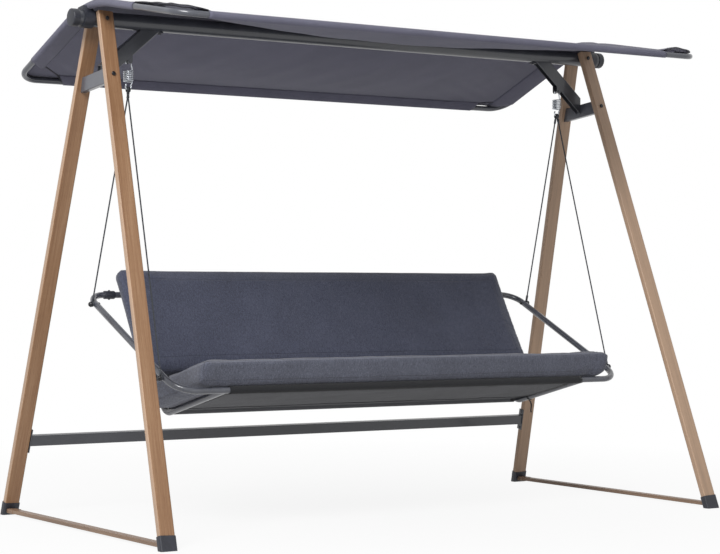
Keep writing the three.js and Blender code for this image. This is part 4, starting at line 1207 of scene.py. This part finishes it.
def sheet_point(x, y, lift):
    """A point of the hung sheet: the arch at the sides, a sagging line between them."""
    point = arch(x, y, lift)
    reach = abs(edge_y(y)) - sheet_border
    share = abs(y) / reach
    slack = max(0.0, 1 - (x / (canopy_x - sheet_border)) ** 2)
    if share < 1 and slack > 0:
        far = arch(0, math.copysign(reach, y), sleeve_radius).z
        middle = sheet_apex + (far - sheet_apex) * share - 4 * sheet_sag * share * (1 - share)
        if abs(y) < beam_touch:
            middle = min(middle, math.sqrt(sheet_on_beam ** 2 - y ** 2))
        point.z -= slack * (arch(x, y, sleeve_radius).z - middle)
        calm = min(1.0, slack * 3) * math.sin(math.pi * share) ** 2
        pull = noise.noise(Vector((x * 3.2, y * 1.1, 4.3)))
        crease = noise.noise(Vector((x * 13.0 + y * 9.0, y * 2.6 - x, 9.1)))
        gather = max(0.0, 1 - abs(abs(x) - 0.80) / 0.30) * max(0.0, y / canopy_rear)
        fan = noise.noise(Vector((y * 24 - x * 17, (x + y) * 1.5, 3.7)))
        point.z += calm * (soft_waves * pull + creases * crease)
        point.z += gather * min(1.0, slack * 4) * gathers * fan
    from_leg = abs(abs(x) - leg_top["front"].x)
    across_leg = min(1.0, max(0.0, over_legs_x - from_leg) / over_fade_x)
    along_leg = min(1.0, max(0.0, over_legs_y - abs(y)) / over_fade_y)
    point.z += over_legs * across_leg * along_leg
    corner = (-1 if x < 0 else 1, -1 if y < 0 else 1)
    along_edge, along_side = corner_open[corner]
    side_share = min(1.0, max(0.0, canopy_x - abs(x)) / (lift_reach * along_edge))
    end_share = min(1.0, max(0.0, abs(edge_y(y)) - abs(y)) / (lift_reach * along_side))
    if side_share < 1 and end_share < 1:
        rise = math.cos(math.pi / 2 * side_share) * math.cos(math.pi / 2 * end_share)
        if x > 0:
            rise = math.sin(math.pi * side_share) * math.cos(math.pi / 2 * end_share) ** 2
        ruffle = 1 + 0.35 * noise.noise(Vector((x * 24, y * 24, 2.2)))
        point.z += corner_lift[corner] * rise * ruffle
    return point


def rounded(x, y):
    """Pulls the sheet's square corners in to the tube's bend."""
    reach = abs(edge_y(y))
    p = (abs(x) - (canopy_x - canopy_corner)) / canopy_corner
    q = (abs(y) - (reach - canopy_corner)) / canopy_corner
    if p <= 0 or q <= 0:
        return x, y
    new_p, new_q = p * math.sqrt(1 - q * q / 2), q * math.sqrt(1 - p * p / 2)
    return (
        math.copysign(canopy_x - canopy_corner + new_p * canopy_corner, x),
        math.copysign(reach - canopy_corner + new_q * canopy_corner, y),
    )


def spread(stops, step):
    """Even stations between given stops."""
    made = [stops[0]]
    for low, high in zip(stops, stops[1:]):
        parts = max(1, round((high - low) / step))
        made += [low + (high - low) * part / parts for part in range(1, parts + 1)]
    return made


def sleeve_limit(corner, along_x):
    """Where the sleeve of an edge or of a side ends before a corner, from the middle."""
    along_edge, along_side = corner_open[corner]
    return canopy_x - along_edge if along_x else abs(edge_y(corner[1])) - along_side


edge_stops = [corner[0] * sleeve_limit(corner, True) for corner in corner_open]
side_stops = [corner[1] * sleeve_limit(corner, False) for corner in corner_open]
sheet_xs = spread(sorted([-canopy_x, *edge_stops, canopy_x]), 0.012)
sheet_ys = spread(sorted([-canopy_front, -0.03, 0.03, *side_stops, canopy_rear]), 0.012)
sheet_shape = bmesh.new()
cloth_flat = sheet_shape.loops.layers.uv.new("cloth")


lay_patch(sheet_shape, cloth_flat, [
    [(tilted(sheet_point(*rounded(x, y), sleeve_radius)), (x, y)) for x in sheet_xs]
    for y in sheet_ys
])


def sleeve_rows(along_x, end):
    """One sleeve: over the tube, round it and back to the seam under the sheet.

    Near the beam its lower layer lies close to the upper one, clear of the legs' tops.
    """
    depth = edge_depth if along_x else side_depth
    reach = abs(edge_y(end)) if along_x else canopy_x
    outward = Vector((0, end * math.cos(canopy_slope), -math.sin(canopy_slope)))
    upward = Vector((0, end * math.sin(canopy_slope), math.cos(canopy_slope)))

    def ordered(along, away):
        return (along, end * away) if along_x else (end * away, along)

    low, high = (
        sleeve_limit((sign, end) if along_x else (end, sign), along_x) for sign in (-1, 1)
    )
    rows = []
    for station in sheet_xs if along_x else sheet_ys:
        if not -low - 1e-6 <= station <= high + 1e-6:
            continue
        row = []
        limit = low if station < 0 else high
        slant = max(0.0, 1 - (limit - abs(station)) / slant_run)
        for step in range(11):
            angle = math.pi / 2 - math.pi * step / 10
            out, up = sleeve_radius * math.cos(angle), sleeve_radius * math.sin(angle)
            if along_x:
                place = arch(station, edge_y(end)) + outward * out + upward * up
            else:
                place = arch(end * (canopy_x + out), station, up)
            row.append((tilted(place), ordered(station, reach + sleeve_wrap * step / 10)))
        bottom = place
        hug = 0.0 if along_x else min(1.0, max(0.0, (hug_half - abs(station)) / hug_fade))
        for step in range(1, 8):
            share = step / 7
            shifted = station + math.copysign(slant * share * depth, station)
            seam = sheet_point(*ordered(shifted, reach - depth), sleeve_radius - seam_drop)
            if along_x:
                start = Vector((shifted, bottom.y, bottom.z))
            else:
                start = arch(end * canopy_x, shifted, -sleeve_radius)
            place = start.lerp(seam, share)
            place.z += hug * (seam.z - start.z) * (1 - (1 - share) ** 6 - share)
            place.z -= (1 - hug) * under_sag * math.sin(math.pi * share)
            flat = ordered(shifted, reach + sleeve_wrap + depth * share)
            row.append((tilted(place), flat))
        rows.append(row)
    return rows


for end in (-1, 1):
    for along_x in (True, False):
        lay_patch(sheet_shape, cloth_flat, sleeve_rows(along_x, end))
bmesh.ops.remove_doubles(sheet_shape, verts=sheet_shape.verts, dist=3e-4)
bmesh.ops.recalc_face_normals(sheet_shape, faces=sheet_shape.faces)
sheet_shape.faces.ensure_lookup_table()
behind_beam = tilted(sheet_point(0, 0.1, 0))
near_beam = min(sheet_shape.faces, key=lambda face: (face.calc_center_median() - behind_beam).length)
if near_beam.normal.z < 0:
    bmesh.ops.reverse_faces(sheet_shape, faces=sheet_shape.faces)
cover_mesh = as_mesh("canopy_cover", sheet_shape)
canopy_cloth = woven_cloth("canopy_cloth", paint(92, 92, 109), paint(108, 107, 125), 900, 0.80, 0.12)
canopy_cover = shown(
    "canopy_cover", cover_mesh, canopy_cloth, "canopy_fabric", "canopy", "canopy_fabric",
)
thicken(canopy_cover, cover_thickness, -1)


# Shade strips: thin dark strips along the slanted cut at each corner of the cover's lining
# and along the sheet's own free edge there, which paint the shade in the gaps under those edges.
slant_strip_radius = 0.0024
slant_drop = 0.0016
slant_hang = 0.0125
edge_strip_radius = 0.0016
edge_drop = 0.0004

shade_strip_finish = tape_and_shade_ribbing(
    "dark_binding", paint(46, 47, 53), (paint(38, 39, 45), paint(60, 61, 68)), 0.85, 1200.0,
)
for end, end_name in ((-1, "front"), (1, "rear")):
    for side, sign in ends.items():
        reach = abs(edge_y(end))
        along_edge, along_side = corner_open[sign, end]
        slanted = []
        for step in range(25):
            share = step / 24
            x = sign * (canopy_x - along_edge * share)
            y = end * (reach - along_side * (1 - share))
            hang = min(1.0, 4 * share, 4 * (1 - share))
            under = slant_drop + slant_hang * (1 - hang)
            slanted.append(tilted(sheet_point(x, y, sleeve_radius - under)))
        free_edge = []
        for step in range(41):
            share = step / 40
            x = sign * (canopy_x - along_edge * max(0.0, 2 * share - 1))
            y = end * (reach - along_side * max(0.0, 1 - 2 * share))
            free_edge.append(tilted(sheet_point(*rounded(x, y), sleeve_radius - edge_drop)))
        tapes = [
            round_line(f"{place}_binding", line, radius, 8, shade_strip_finish)
            for place, line, radius in (
                ("slanted", slanted, slant_strip_radius), ("edge", free_edge, edge_strip_radius),
            )
        ]
        name = f"cover_binding_{end_name}_{side}"
        shown(name, joined(name, tapes), shade_strip_finish, "canopy_fabric", "canopy")


# Floor and light: a pale studio floor that keeps the swing's shadow, and a white backdrop.
def seen_by_eye(graph):
    """1 for what the camera sees, also mirrored or through something clear."""
    rays = graph.add("ShaderNodeLightPath").outputs
    direct = graph.combine(rays["Is Camera Ray"], rays["Is Glossy Ray"], "MAXIMUM")
    return graph.combine(direct, rays["Is Transmission Ray"], "MAXIMUM")


def studio_floor():
    made = Finish("studio_floor", (0.80, 0.80, 0.80, 1), 0.9)
    made.shader.inputs["Specular IOR Level"].default_value = 0.2
    white = made.add("ShaderNodeEmission", {"Color": (1, 1, 1, 1)})
    here = made.add("ShaderNodeTexCoord").outputs["Object"]
    far = made.add("ShaderNodeVectorMath", {0: here}, operation="LENGTH").outputs["Value"]
    share = made.times(made.level(far, 0.2, 3.0, 0.88, 1), seen_by_eye(made))
    mixed = made.add("ShaderNodeMixShader", {0: share, 1: made.shader.outputs[0], 2: white.outputs[0]})
    made.tree.links.new(mixed.outputs[0], made.tree.nodes["Material Output"].inputs["Surface"])
    return made.material


floor_half = 30
floor_drop = 0.0002
floor_mesh = bpy.data.meshes.new("studio_floor")
floor_mesh.from_pydata(
    [(x * floor_half, y * floor_half, -floor_drop) for x, y in ((-1, -1), (1, -1), (1, 1), (-1, 1))],
    [], [(0, 1, 2, 3)],
)
floor = bpy.data.objects.new("studio_floor", floor_mesh)
floor_mesh.materials.append(studio_floor())
scene.collection.objects.link(floor)

world = bpy.data.worlds.new("studio")
world.use_nodes = True
scene.world = world
sky = Graph(world.node_tree)
air = sky.tree.nodes["Background"]
air.inputs["Color"].default_value = (1, 1, 1, 1)
air.inputs["Strength"].default_value = 0.33
backdrop = sky.add("ShaderNodeBackground", {"Color": (1, 1, 1, 1), "Strength": 1.0})
chosen = sky.add("ShaderNodeMixShader", {
    0: seen_by_eye(sky), 1: air.outputs[0], 2: backdrop.outputs[0],
})
sky.tree.links.new(chosen.outputs[0], sky.tree.nodes["World Output"].inputs["Surface"])


def softbox(name, where, aim, size, watts):
    lamp = bpy.data.lights.new(name, "AREA")
    lamp.shape = "RECTANGLE"
    lamp.size, lamp.size_y = size
    lamp.energy = watts
    made = bpy.data.objects.new(name, lamp)
    made.location = where
    made.rotation_euler = (Vector(aim) - Vector(where)).to_track_quat("-Z", "Y").to_euler()
    scene.collection.objects.link(made)
    return made


softbox("key_light", (-4.0, -2.8, 4.2), (0, 0, 0.7), (2.4, 2.4), 270)
softbox("fill_light", (0.5, -6.5, 1.6), (0, 0, 0.7), (4.0, 2.4), 22)
